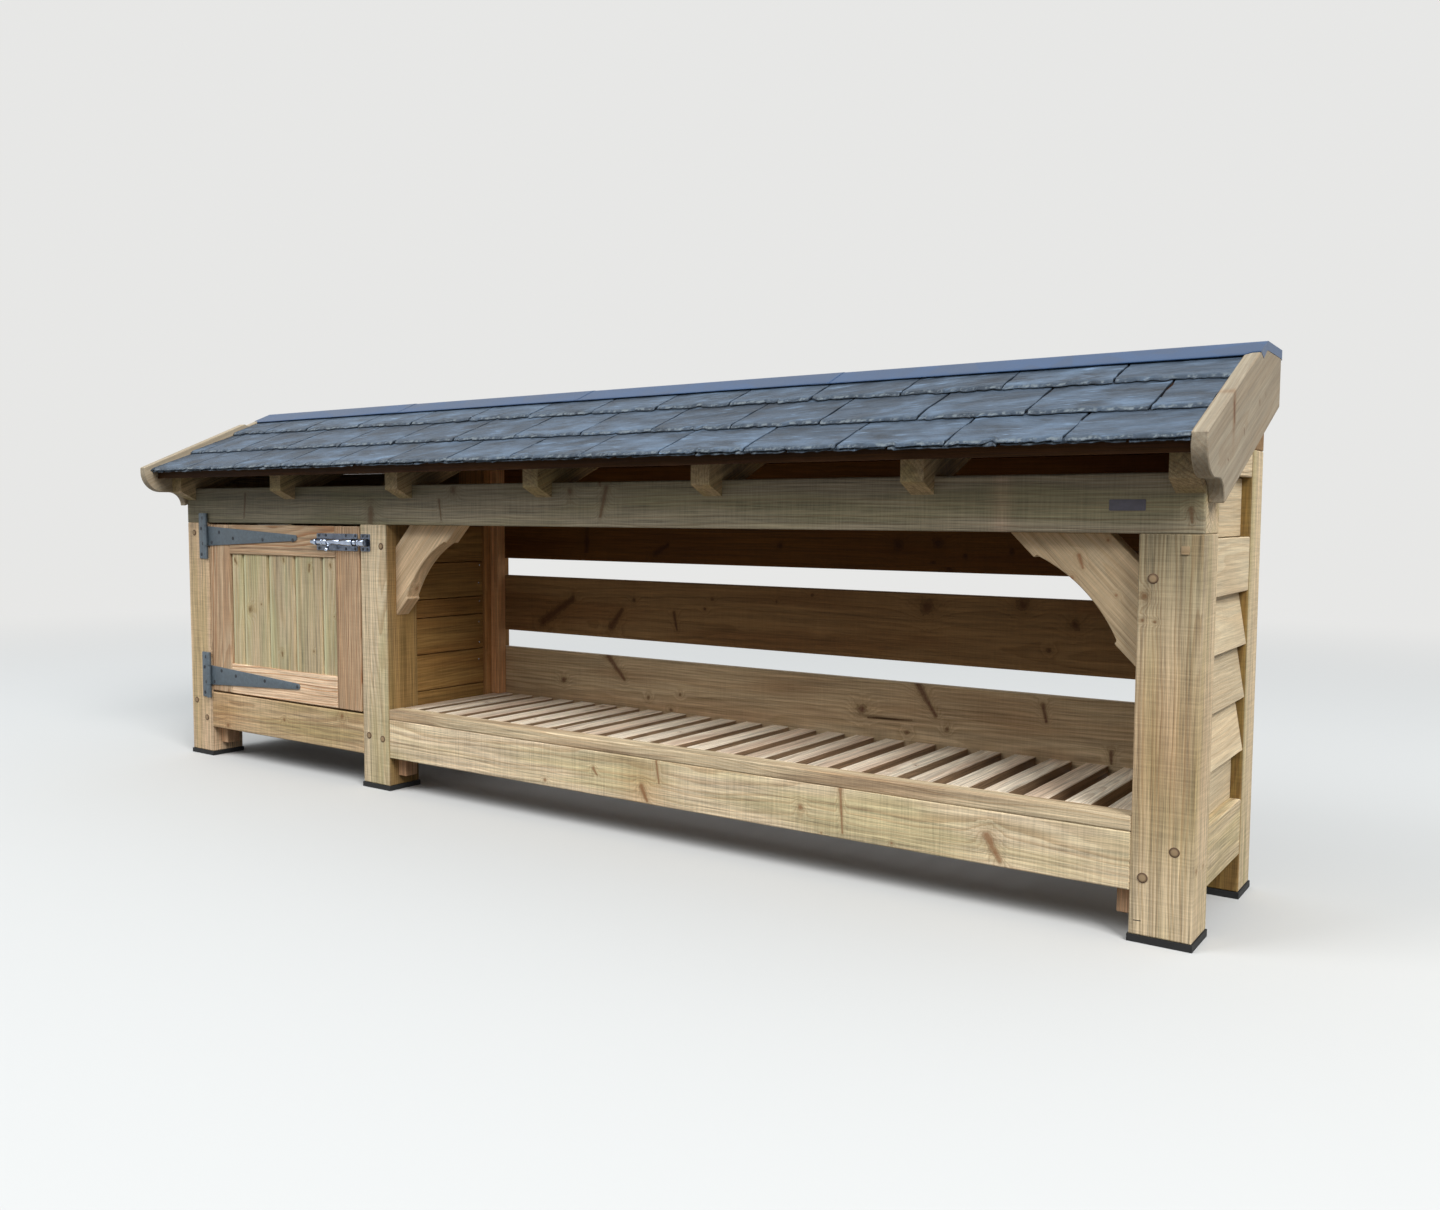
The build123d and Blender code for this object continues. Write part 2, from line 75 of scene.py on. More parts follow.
def spot(x, y, z):
    """A place given in millimetres from the left post's outer front corner and the posts' feet."""
    return Vector((LEFT + x * MM, FRONT + y * MM, FOOT + z * MM))


def roof_line(y, below=0.0):
    """Height in millimetres of the slates' upper line, less a depth square to it."""
    return ROOF_LINE + y * math.tan(ROOF_PITCH) - below / math.cos(ROOF_PITCH)


def colour_property(name, description, default):
    """A colour that a user may change."""
    return bpy.props.FloatVectorProperty(name=name, description=description, subtype="COLOR", default=default)


def length_property(name, description, default):
    """A length that a user may change."""
    return bpy.props.FloatProperty(name=name, description=description, unit="LENGTH", default=default)


class LogStoreColours(bpy.types.PropertyGroup):
    """Colours of the store's materials."""

    frame_wood: colour_property("Frame", "Treated posts, beams and rails", (0.60, 0.48, 0.315))
    # Partly the boards' own browner colour, partly painted shade of the store's inside
    brown_wood: colour_property("Boards", "Treated boards inside and at the back", (0.30, 0.19, 0.095))
    # Nearly black: painted shade, as the roof boards stand in the roof's shadow
    deck_wood: colour_property("Roof boards", "Red-brown boards under the slates", (0.038, 0.015, 0.003))
    pale_wood: colour_property("Pale timber", "Bargeboards and braces", (0.60, 0.46, 0.29))
    door_wood: colour_property("Door frame", "Stiles and rails of the door", (0.54, 0.385, 0.245))
    panel_wood: colour_property("Door boards", "Grooved boards of the door", (0.54, 0.43, 0.28))
    slat_wood: colour_property("Slats", "Floor slats and the nosing", (0.78, 0.68, 0.54))
    # Painted shade: the slats' sides are darker, as in the shade of their gaps
    shade_wood: colour_property("Slats' sides", "Sides of the slats, in their gaps", (0.32, 0.21, 0.12))
    slate: colour_property("Slate", "Riven slate", (0.060, 0.088, 0.128))
    flashing: colour_property("Flashing", "Coated sheet over the ridge", (0.029, 0.070, 0.156))
    galvanised: colour_property("Hinges", "Dull galvanised steel", (0.12, 0.152, 0.18))
    zinc: colour_property("Bolt", "Bright zinc-plated steel", (0.42, 0.48, 0.60))
    rubber: colour_property("Pads", "Rubber under the posts", (0.012, 0.012, 0.012))
    background: colour_property("Background", "Floor and surround", (0.80, 0.80, 0.79))


class LogStoreSizes(bpy.types.PropertyGroup):
    """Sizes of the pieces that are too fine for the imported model."""

    edge_easing: length_property("Edge easing", "Width of the eased edges of the timbers", 0.0013)
    slate_gap: length_property("Slate gap", "Gap between neighbouring slates", 0.005)
    slate_thickness: length_property("Slate thickness", "Thickness of one slate", 0.0055)
    slate_chipping: length_property("Slate chipping", "How far the dressed edges wander", 0.0046)
    sheet_thickness: length_property("Flashing thickness", "Thickness of the folded sheet", 0.0012)
    peg_radius: length_property("Peg radius", "Radius of a peg's head", 0.0085)
    nail_radius: length_property("Nail radius", "Radius of a nail's head", 0.0024)
    screw_radius: length_property("Screw radius", "Radius of a screw's head", 0.0042)


# Node trees


def signed(operation, flipped=False):
    """A sign that adds a math node between a term and another value."""
    return lambda self, other: self.math(operation, other, flipped=flipped)


class Term:
    """A value that a node gives. Signs between it and other values add math nodes."""

    def __init__(self, node, output=0):
        self.socket, self.tree = node.outputs[output], node.id_data

    def math(self, operation, *others, flipped=False):
        """A math node, or a vector math node where this value is a vector or a colour."""
        sockets = dict(enumerate((*others, self) if flipped else (self, *others)))
        if self.socket.type == "VALUE":
            return Term(add_node(self.tree, "ShaderNodeMath", sockets, operation=operation))
        made = add_node(self.tree, "ShaderNodeVectorMath", sockets, operation=operation)
        return Term(made, "Value" if operation in ("LENGTH", "DOT_PRODUCT") else "Vector")

    def scaled(self, factor):
        """A vector made longer, or a colour made lighter."""
        sockets = {0: self, "Scale": factor}
        return Term(add_node(self.tree, "ShaderNodeVectorMath", sockets, operation="SCALE"))

    __add__ = __radd__ = signed("ADD")
    __sub__ = signed("SUBTRACT")
    __rsub__ = signed("SUBTRACT", flipped=True)
    __mul__ = __rmul__ = signed("MULTIPLY")
    __truediv__ = signed("DIVIDE")


def plug(socket, value):
    """Links a socket to a term or sets its value."""
    if isinstance(value, Term):
        value.tree.links.new(value.socket, socket)
    elif socket.type == "RGBA":
        socket.default_value = (*value[:3], 1.0)
    else:
        socket.default_value = value


def add_node(tree, kind, sockets=None, **settings):
    """Adds a node, with its settings and its sockets' values or links."""
    made = tree.nodes.new(kind)
    for key, value in settings.items():
        setattr(made, key, value)
    for key, value in (sockets or {}).items():
        plug(made.inputs[key], value)
    return made


def mixed(kind, share, first, second):
    """A mix of two colours or two vectors."""
    made = add_node(share.tree, "ShaderNodeMix", data_type={"Color": "RGBA", "Vector": "VECTOR"}[kind])
    for value, name in ((share, "Factor_Float"), (first, "A_" + kind), (second, "B_" + kind)):
        plug(next(s for s in made.inputs if s.identifier == name), value)
    return Term(made, next(i for i, s in enumerate(made.outputs) if s.identifier == "Result_" + kind))


def blend(share, first, second):
    """A mix of two colours."""
    return mixed("Color", share, first, second)


def ramp(value, low, high):
    """A smooth step of a value from 0 to 1 between two limits."""
    sockets = {0: value, 1: low, 2: high, 3: 0.0, 4: 1.0}
    return Term(add_node(value.tree, "ShaderNodeMapRange", sockets, interpolation_type="SMOOTHSTEP"))


def cloud(place, scale=1.0, detail=2.0, roughness=0.5, output="Fac"):
    """A noise texture at a place that has already been stretched."""
    sockets = {"Vector": place, "Scale": scale, "Detail": detail, "Roughness": roughness}
    return Term(add_node(place.tree, "ShaderNodeTexNoise", sockets), output)


def random_of(value):
    """A random number from 0 to 1 that a value picks."""
    return Term(add_node(value.tree, "ShaderNodeTexWhiteNoise", {"W": value}, noise_dimensions="1D"), "Value")


def parts_of(place):
    """The three numbers of a vector."""
    made = add_node(place.tree, "ShaderNodeSeparateXYZ", {0: place})
    return [Term(made, i) for i in range(3)]


def joined(x, y, z=0.0):
    """A vector of three numbers, the first of them a term."""
    return Term(add_node(x.tree, "ShaderNodeCombineXYZ", {0: x, 1: y, 2: z}))


def property_of(tree, name, output="Fac", kind="OBJECT"):
    """Reads a property of the object, or an attribute of its mesh."""
    return Term(add_node(tree, "ShaderNodeAttribute", attribute_type=kind, attribute_name=name), output)


def board_layers(tree):
    """A board's own place, seed and edge mark, from its mesh; the edge mark carries dressed edges, painted
    shade and painted highlights.
    """
    kinds = (("board_place", "Vector"), ("board_seed", "Fac"), ("dressed_edge", "Fac"))
    return [property_of(tree, name, output, "GEOMETRY") for name, output in kinds]


def relief(height, strength, distance):
    """The normal of a surface with a bump."""
    sockets = {"Height": height, "Strength": strength, "Distance": distance}
    return Term(add_node(height.tree, "ShaderNodeBump", sockets))


def new_group(name, inputs, outputs):
    """Starts a shader node group. Returns the terms it is given, and the sockets of its results."""
    tree = bpy.data.node_groups.new(name, "ShaderNodeTree")
    for socket_name, kind, default in inputs:
        socket = tree.interface.new_socket(name=socket_name, in_out="INPUT", socket_type="NodeSocket" + kind)
        if default is not None:
            socket.default_value = default
    for socket_name, kind in outputs:
        tree.interface.new_socket(name=socket_name, in_out="OUTPUT", socket_type="NodeSocket" + kind)
    source = tree.nodes.new("NodeGroupInput")
    return {each[0]: Term(source, each[0]) for each in inputs}, tree.nodes.new("NodeGroupOutput").inputs


def place_group(tree, group, sockets):
    """Places a node group in a tree."""
    made = tree.nodes.new("ShaderNodeGroup")
    made.node_tree = group
    for key, value in sockets.items():
        plug(made.inputs[key], value)
    return made


def material(name, build, *values):
    """The material of this name. On its first use it is made, with the sockets that a function gives."""
    if name not in bpy.data.materials:
        made = bpy.data.materials.new(name)
        made.use_nodes = True
        shader = made.node_tree.nodes["Principled BSDF"]
        for key, value in build(made.node_tree, *values).items():
            plug(shader.inputs[key], value)
    return bpy.data.materials[name]


def knot_group():
    """How far a place is from a knot that runs between two places, as a share of the knot's radius."""
    if "Knot distance" in bpy.data.node_groups:
        return bpy.data.node_groups["Knot distance"]
    inputs = [(name, "Vector", None) for name in ("Place", "Start", "End")]
    inputs += [("Radius", "Float", 0.0), ("Nearest", "Float", FAR_KNOT)]
    given, result = new_group("Knot distance", inputs, [("Nearest", "Float")])
    run, away = given["End"] - given["Start"], given["Place"] - given["Start"]
    length = run.math("DOT_PRODUCT", run).math("MAXIMUM", 1e-8)
    share = (away.math("DOT_PRODUCT", run) / length).math("MAXIMUM", 0.0).math("MINIMUM", 1.0)
    radius = given["Radius"].math("MAXIMUM", 0.0001) * (1.0 - share * KNOT_TAPER)
    nearness = (away - run.scaled(share)).math("LENGTH") / radius
    plug(result["Nearest"], nearness.math("MINIMUM", given["Nearest"]))
    return bpy.data.node_groups["Knot distance"]


def softwood_group():
    """Growth rings round a heart outside the board, bent by knots, with fibres and slow changes of tone."""
    if "Softwood" in bpy.data.node_groups:
        return bpy.data.node_groups["Softwood"]
    colours, numbers = ("Early", *TIMBER_VALUES[:3]), ("Seed", *TIMBER_VALUES[3:])
    inputs = [("Place", "Vector", None), ("Knot distance", "Float", FAR_KNOT)]
    inputs += [(name, "Float", 1.0) for name in numbers]
    inputs += [(name, "Color", (0.5, 0.4, 0.2, 1.0)) for name in colours]
    outputs = [("Colour", "Color"), ("Roughness", "Float"), ("Height", "Float")]
    given, result = new_group("Softwood", inputs, outputs)
    seed, spacing = given["Seed"], given["Ring spacing"]
    place = given["Place"].scaled(1.0 / MM)
    x, y, z = parts_of(place)
    shift = joined(seed * 31.7, seed * 17.3, seed * 5.9)

    def random_share(factor):
        return (seed * factor).math("FRACT")

    def stretched(along, across):
        return place * (along, across, across) + shift

    # The heart's place beside the board, wandering along it
    angle = seed * 2.39996
    cosine, sine = angle.math("COSINE"), angle.math("SINE")
    reach = given["Heart distance"] * (0.7 + random_share(0.37) * 0.6)
    wander = parts_of(cloud(stretched(0.0016, 0.005), 1.0, 1.0, output="Color") - (0.5, 0.5, 0.5))
    tilt = (random_share(0.61) - 0.5) * 0.07
    outward = y * cosine + z * sine + reach + (wander[0] * HEART_WANDER + x * tilt)
    sideways = z * cosine - y * sine + wander[1] * HEART_WANDER
    radius = (outward * outward + sideways * sideways).math("SQRT")
    turn = sideways.math("ARCTAN2", outward)

    # Knots that run out from the heart, and those that are listed
    cell_x = x / 330.0 + seed * 1.7
    cell_y = turn * 1.5 + seed * 5.1
    sockets = {"Vector": joined(cell_x, cell_y), "Scale": 1.0}
    cells = add_node(x.tree, "ShaderNodeTexVoronoi", sockets, voronoi_dimensions="2D")
    centre, chance = parts_of(Term(cells, "Position")), parts_of(Term(cells, "Color"))
    along = (cell_x - centre[0]) * 280.0
    round_it = (cell_y - centre[1]) / 1.5 * radius
    size = (2.5 + chance[1] * 6.5) * chance[0].math("LESS_THAN", given["Knots"])
    apart = (along * along + round_it * round_it).math("SQRT")
    ragged = cloud(stretched(0.08, 0.08), 1.0, 3.0, 0.6) - 0.5
    knot = (apart / size.math("MAXIMUM", 0.01)).math("MINIMUM", given["Knot distance"])
    knot = knot + ragged * 1.7 * knot.math("MINIMUM", 1.5)
    squared = knot * knot

    # Rings, which swell round a knot
    uneven = (cloud(stretched(0.005, 0.03)) - 0.5) * 12.0
    swell = (squared * -0.16).math("EXPONENT") * (spacing * 2.8)
    years = (radius + uneven + swell) / spacing
    within = years.math("FRACT")
    year = random_of(years.math("FLOOR") + seed)
    late = ramp(within, 0.15, 0.85) * (1.0 - ramp(within, 0.9, 1.0))
    late = late * (0.35 + year * 0.65) * given["Ring strength"]

    # Colour
    fibre = cloud(stretched(0.012, 0.8), 1.0, 3.0, 0.65)
    streak = cloud(stretched(0.003, 0.13))
    tone = cloud(stretched(0.0022, 0.016))
    colour = blend(ramp(tone, 0.4, 0.68) * given["Tint share"], given["Early"], given["Tint"])
    colour = blend(late, colour, given["Late"])
    light = ((fibre - 0.5) * 2.0 + (streak - 0.5) * 1.3) * given["Streaks"]
    own = (random_share(0.713) - 0.5) * 0.2
    saw = (cloud(stretched(0.3, 0.014)) - 0.5) * given["Saw marks"]
    colour = colour.scaled(light + own + (1.0 + saw * 0.9))
    colour = blend((squared * -0.3).math("EXPONENT") * 0.6, colour, given["Late"])
    rays = cloud(stretched(0.25, 0.25))
    heart = 1.0 - ramp(knot, 0.3, 1.15)
    colour = blend(heart * (0.35 + rays * 0.8), colour, given["Knot"])
    rim = ramp(knot, 0.7, 0.95) * (1.0 - ramp(knot, 0.98, 1.2))
    colour = blend(rim * 0.3, colour, given["Knot"].scaled(0.35))
    plug(result["Colour"], colour)
    plug(result["Roughness"], 0.58 + (fibre * 0.2 + late * -0.12))
    plug(result["Height"], fibre * 0.8 + (late * 0.4 + saw * 1.2) + heart * 0.4)
    return bpy.data.node_groups["Softwood"]


KNOT_LETTERS = "abcdefghij"
TONE_PATCH_LETTERS = "abc"
FAR_KNOT = 50.0
KNOT_TAPER = 0.45
HEART_WANDER = 46.0
# Painted highlight on the door boards' wide bevels
PAINTED_BEVEL_HIGHLIGHT = (0.90, 0.90, 0.58)
GREEN_TINT = (0.40, 0.35, 0.16)
WARM_TINT = (0.42, 0.24, 0.115)
# Each timber has its slot, and then these values
TIMBER_VALUES = (
    "Late", "Tint", "Knot",
    "Ring spacing", "Heart distance", "Ring strength", "Knots", "Saw marks", "Tint share", "Streaks",
)
TIMBERS = {
    "frame": (
        "treated_softwood", (0.32, 0.20, 0.095), GREEN_TINT, (0.25, 0.125, 0.055),
        6.0, 85.0, 0.6, 0.2, 0.7, 0.6, 1.0,
    ),
    # Partly the boards' own browner colour, partly painted shade of the store's inside
    "brown": (
        "treated_softwood", (0.16, 0.09, 0.036), (0.19, 0.09, 0.036), (0.06, 0.02, 0.01),
        7.0, 75.0, 0.55, 0.16, 0.3, 0.6, 0.8,
    ),
    "pale": (
        "pale_softwood", (0.45, 0.29, 0.15), WARM_TINT, (0.30, 0.13, 0.06),
        7.0, 90.0, 0.5, 0.1, 0.2, 0.2, 0.6,
    ),
    "door": (
        "door_softwood", (0.34, 0.16, 0.07), WARM_TINT, (0.2, 0.08, 0.03),
        6.5, 90.0, 0.95, 0.0, 0.2, 0.3, 1.0,
    ),
    # Painted shade: the roof boards nearly black, as in the roof's shadow
    "deck": (
        "treated_softwood", (0.06, 0.022, 0.008), (0.10, 0.04, 0.012), (0.03, 0.01, 0.005),
        7.0, 75.0, 0.7, 0.1, 0.2, 0.5, 1.0,
    ),
    "panel": (
        "panel_softwood", (0.40, 0.27, 0.12), (0.42, 0.42, 0.22), (0.16, 0.09, 0.03),
        8.0, 60.0, 0.6, 0.0, 0.2, 0.6, 1.0,
    ),
    # Painted shade on the slats' sides, in their gaps
    "shade": (
        "slat_softwood", (0.14, 0.09, 0.05), (0.2, 0.11, 0.06), (0.06, 0.03, 0.015),
        5.0, 70.0, 0.5, 0.0, 0.3, 0.5, 1.0,
    ),
    "slat": (
        "slat_softwood", (0.42, 0.27, 0.15), (0.46, 0.27, 0.17), (0.2, 0.08, 0.04),
        5.0, 70.0, 0.5, 0.08, 0.3, 0.5, 1.0,
    ),
}


def timber_sockets(tree, kind):
    """Softwood that reads a board's own grain from its object's properties or its mesh's attributes."""
    local = Term(add_node(tree, "ShaderNodeTexCoord"), "Object")
    middle = property_of(tree, "grain_middle", "Vector")
    sockets = {"Vector": local, "Center": middle, "Rotation": property_of(tree, "grain_turn", "Vector")}
    turned = Term(add_node(tree, "ShaderNodeVectorRotate", sockets, rotation_type="EULER_XYZ")) - middle
    own_place, own_seed, edge = board_layers(tree)
    nearest = FAR_KNOT
    for letter in KNOT_LETTERS:
        sockets = {
            "Place": local,
            "Start": property_of(tree, "knot_" + letter, "Vector"),
            "End": property_of(tree, "end_" + letter, "Vector"),
            "Radius": property_of(tree, "knot_" + letter, "Alpha"),
            "Nearest": nearest,
        }
        nearest = Term(place_group(tree, knot_group(), sockets))
    sockets = dict(zip(TIMBER_VALUES, TIMBERS[kind][1:])) | {
        "Place": mixed("Vector", property_of(tree, "whole_board"), own_place, turned),
        "Seed": property_of(tree, "grain_seed") + own_seed,
        "Early": getattr(bpy.context.scene.log_store_colours, kind + "_wood"),
        "Knot distance": nearest,
    }
    grain = place_group(tree, softwood_group(), sockets)
    colour = Term(grain, "Colour")
    # Tones by place, read from the piece: real stains, and painted shade and painted light.
    for letter in TONE_PATCH_LETTERS:
        reach = property_of(tree, "reach_" + letter, "Vector").math("MAXIMUM", (0.00001, 0.00001, 0.00001))
        away = ((local - property_of(tree, "tone_place_" + letter, "Vector")) / reach).math("LENGTH")
        share = (away * away * -1.0).math("EXPONENT")
        tone = property_of(tree, "tone_" + letter, "Vector")
        colour = colour * mixed("Vector", share, (1.0, 1.0, 1.0), tone)
    return {
        # Painted highlight: the door boards' bevels, marked in the edge layer, are painted paler as if
        # catching the light.
        "Base Color": blend(edge * 0.55, colour, PAINTED_BEVEL_HIGHLIGHT),
        "Roughness": Term(grain, "Roughness"),
        "Specular IOR Level": 0.12 if kind in ("brown", "deck") else 0.3,
        "Normal": relief(Term(grain, "Height"), 0.5, 0.0007),
    }


def timber_finish(kind):
    """The material of a kind of timber."""
    return material(kind + "_timber", timber_sockets, kind)


def slate_sockets(tree):
    """Riven slate: each slate its own tone, with cleft steps, paler chipped edges, painted glints along the
    clefts, and painted shade on the tails and undersides.
    """

    def shade(factor):
        return tuple(c * factor for c in bpy.context.scene.log_store_colours.slate)

    laid, seed, edge = board_layers(tree)
    own = random_of(seed)
    place = laid + joined(seed, seed * 3.3)
    sockets = {"Vector": place, "Angle": -0.32 + own * 0.36}
    slant = Term(add_node(tree, "ShaderNodeVectorRotate", sockets, rotation_type="Z_AXIS"))
    patches = cloud(slant * (9.0, 20.0, 9.0), 1.0, 5.0, 0.65)
    cleft = cloud(slant * (7.0, 30.0, 7.0), 1.0, 4.0, 0.6)
    painted_glint = cloud(slant * (16.0, 130.0, 16.0), 1.0, 3.0, 0.6)
    grit = cloud(place, 420.0, 2.0, 0.6)
    colour = blend(own, shade(0.66), shade(1.3))
    colour = blend((1.0 - ramp(patches, 0.36, 0.52)) * 0.9, colour, shade(0.36))
    colour = blend(ramp(patches, 0.5, 0.68) * 0.75, colour, shade(1.9))
    # Painted highlight: pale glints along the clefts, standing for the sky's reflection.
    colour = blend(ramp(painted_glint, 0.56, 0.72) * ramp(cleft, 0.4, 0.6), colour, shade(3.6))
    colour = blend(ramp(grit, 0.5, 0.75) * 0.3, colour, shade(1.9))
    run = ramp(parts_of(laid)[1], 0.01, 0.15)
    broad = (cloud(slant * (8.0, 14.0, 8.0), 1.0, 3.0, 0.6) - 0.5) * 2.2
    colour = colour.scaled((1.14 - run * 0.35 + broad).math("MAXIMUM", 0.3))
    tail = edge.math("MAXIMUM", 0.0)
    chipped = tail * ramp(cloud(place, 60.0, 5.0, 0.75), 0.47, 0.58)
    # Painted shade on the tails' faces; the paler chips on them are the slate's own.
    colour = blend(tail * 0.6, colour, shade(0.36))
    colour = blend(chipped * 0.85, colour, (0.19, 0.225, 0.25))
    # Painted shade: the slates' undersides, marked -1 in the edge layer, nearly black.
    colour = blend(ramp(edge * -1.0, 0.0, 0.7), colour, (0.008, 0.010, 0.013))
    height = cleft.math("SNAP", 0.05) * 1.4 + (cleft + grit * 0.08)
    return {
        "Base Color": colour,
        "Roughness": 0.30 + patches * 0.40,
        "Specular IOR Level": 0.35,
        "Normal": relief(height, 1.0, 0.010),
    }


# Roughness, metallic, mottle's strength, mottle's scale, bump
METALS = {
    "flashing": (0.36, 0.0, 0.14, 16.0, 0.2),
    "galvanised": (0.5, 0.4, 0.12, 160.0, 0.1),
    "zinc": (0.16, 1.0, 0.1, 120.0, 0.03),
    # Painted shade: a darker copy of the zinc for the flat plates
    "zinc_plate": (0.3, 1.0, 0.2, 120.0, 0.05),
    "rubber": (0.8, 0.0, 0.3, 60.0, 0.3),
    "dark": (0.5, 0.6, 0.3, 300.0, 0.1),
    "plate": (0.5, 0.3, 0.12, 120.0, 0.05),
}
DARK_METAL = (0.05, 0.055, 0.065)
PLATE_METAL = (0.068, 0.062, 0.078)


def mottled_sockets(tree, kind, colour):
    """A sheet, plated or moulded surface with a mottle in its colour and its gloss."""
    roughness, metallic, mottle, scale, bump = METALS[kind]
    place = Term(add_node(tree, "ShaderNodeTexCoord"), "Object")
    spangle = Term(add_node(tree, "ShaderNodeTexVoronoi", {"Vector": place, "Scale": scale}), "Color")
    both = parts_of(spangle)[0] * 0.4 + cloud(place, scale * 0.35, 3.0, 0.6) * 0.6
    dark, light = (tuple(min(1.0, c * (1.0 + s * mottle)) for c in colour) for s in (-1.0, 1.0))
    return {
        "Base Color": blend(ramp(both, 0.3, 0.75), dark, light),
        "Roughness": roughness - 0.08 + both * 0.16,
        "Metallic": metallic,
        "Specular IOR Level": 0.3 if kind == "flashing" else 0.5,
        "Normal": relief(cloud(place, 900.0) + both, bump, 0.0005),
    }


def mottled_finish(kind, colour=None):
    """The material of a kind of metal or rubber."""
    colour = colour or tuple(getattr(bpy.context.scene.log_store_colours, kind))
    return material(kind + "_finish", mottled_sockets, kind, colour)


def peg_sockets(tree):
    """End grain of a peg, with painted shade round its rim, where the gap round the peg is shaded."""
    place, seed, rim = board_layers(tree)
    rings = ((place + (0.004, 0.009, 0.0)).math("LENGTH") * 4200.0).math("SINE")
    pores = cloud(place + joined(seed, 0.0), 900.0)
    colour = blend(ramp(rings, -0.5, 1.0) * 0.5, (0.37, 0.26, 0.145), (0.25, 0.155, 0.08))
    colour = blend(ramp(pores, 0.5, 0.7) * 0.5, colour, (0.20, 0.12, 0.06))
    # Painted shade round the rim
    colour = blend(rim, colour, (0.10, 0.055, 0.028))
    return {"Base Color": colour, "Roughness": 0.75, "Normal": relief(pores, 0.4, 0.0005)}


# Boards

EASED = (
    "front_post_left front_post_middle front_post_right rear_post_left rear_post_middle rear_post_right "
    "front_beam rear_beam cupboard_front_rail bay_front_rail bay_nosing corner_batten back_board_lower "
    "back_board_middle back_board_upper back_board_top door_stile_hinge door_stile_latch door_rail_top "
    "door_rail_bottom"
).split()
GRAIN_TURNS = {"x": (0.0, 0.0, 0.0), "y": (0.0, 0.0, -math.pi / 2), "z": (0.0, math.pi / 2, 0.0)}
SAME_PLACE = 1e-5
FLAT, SHARP = math.radians(0.5), math.radians(40.0)
SEED_STEP = 1.618
KNOT_DEPTH = 25.0


def set_knots(piece, knots):
    """Puts knots on a piece. Each has its start, its end and its radius, in millimetres."""
    for letter, (start, end, radius) in zip(KNOT_LETTERS, knots):
        piece["knot_" + letter] = [*spot(*start), radius * MM]
        piece["end_" + letter] = list(spot(*end))


def facing(axis, value, marks):
    """Knots in a face. A mark has one or two places in the face's own directions, and a radius."""
    found = []
    for *places, radius in marks:
        start, end = places[:2], places[-2:]
        start.insert(axis, value)
        end.insert(axis, value + (KNOT_DEPTH if len(places) == 2 and axis == 1 else 0.0))
        found.append((start, end, radius))
    return found


def set_stains_and_painted_light(piece, tone_patches):
    """Tints parts of a piece with real stains, painted shade and painted light. Each has its place and its
    reach in millimetres, and its tone.
    """
    for letter, (place, reach, tone) in zip(TONE_PATCH_LETTERS, tone_patches):
        piece["tone_place_" + letter] = list(spot(*place))
        piece["reach_" + letter] = [r * MM for r in reach]
        piece["tone_" + letter] = list(tone)


def mark(piece, node):
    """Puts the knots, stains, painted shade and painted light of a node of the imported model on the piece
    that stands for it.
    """
    set_knots(piece, KNOTS.get(node, ()))
    set_stains_and_painted_light(piece, STAINS_AND_PAINTED_LIGHT.get(node, ()))


def load_shape(shape, node):
    """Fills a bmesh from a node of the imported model, without the edges inside its flat faces."""
    shape.from_mesh(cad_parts[node].data)
    bmesh.ops.remove_doubles(shape, verts=shape.verts, dist=SAME_PLACE)
    bmesh.ops.dissolve_limit(shape, angle_limit=FLAT, verts=shape.verts, edges=shape.edges)


def ease_edges(node, kind):
    """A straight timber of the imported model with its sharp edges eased, as planed timber has them."""
    shape = bmesh.new()
    load_shape(shape, node)
    sharp = [e for e in shape.edges if e.is_manifold and e.is_convex and e.calc_face_angle() > SHARP]
    ease = bpy.context.scene.log_store_sizes.edge_easing
    bmesh.ops.bevel(
        shape, geom=sharp, offset=ease, segments=2, profile=0.5, affect="EDGES", clamp_overlap=True
    )
    body = "door" if node.startswith("door") else "store"
    return new_piece(node + "_timber", shape, timber_finish(kind), body, [node])


def finish_node(node, kind, grain, seed):
    """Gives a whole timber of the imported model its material, and the properties that its grain reads."""
    piece = ease_edges(node, kind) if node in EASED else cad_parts[node]
    low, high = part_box(node)
    piece["grain_middle"] = [float(c) for c in (low + high) / 2]
    piece["grain_turn"] = list(GRAIN_TURNS[grain])
    piece["grain_seed"] = seed
    piece["whole_board"] = 1.0
    mark(piece, node)
    paint(piece, timber_finish(kind))


def paint(piece, finish):
    """Gives every slot of a piece the same material."""
    for material_slot in piece.material_slots:
        material_slot.link = "OBJECT"
        material_slot.material = finish


def add_object(name, data):
    """Adds an object to the scene."""
    made = bpy.data.objects.new(name, data)
    bpy.context.scene.collection.objects.link(made)
    return made


def new_piece(name, shape, finish, body, replaced=(), angle=None, second=None):
    """Turns a bmesh into a piece that rides on a body. Faces of material index 1 take the second finish."""
    mesh = bpy.data.meshes.new(name)
    bmesh.ops.recalc_face_normals(shape, faces=shape.faces)
    shape.to_mesh(mesh)
    shape.free()
    mesh.materials.append(finish)
    if second:
        mesh.materials.append(second)
    piece = add_object(name, mesh)
    if angle:
        mesh.shade_smooth()
        mesh.set_sharp_from_angle(angle=math.radians(angle))
    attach(piece, body)
    if replaced:
        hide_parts(*replaced)
    return piece


def new_shape():
    """A bmesh with the layers that the finishes read: a board's place, its seed, and an edge mark that
    carries dressed edges, painted shade and painted highlights.
    """
    shape = bmesh.new()
    layers = (
        shape.verts.layers.float_vector.new("board_place"),
        shape.verts.layers.float.new("board_seed"),
        shape.verts.layers.float.new("dressed_edge"),
    )
    return shape, layers


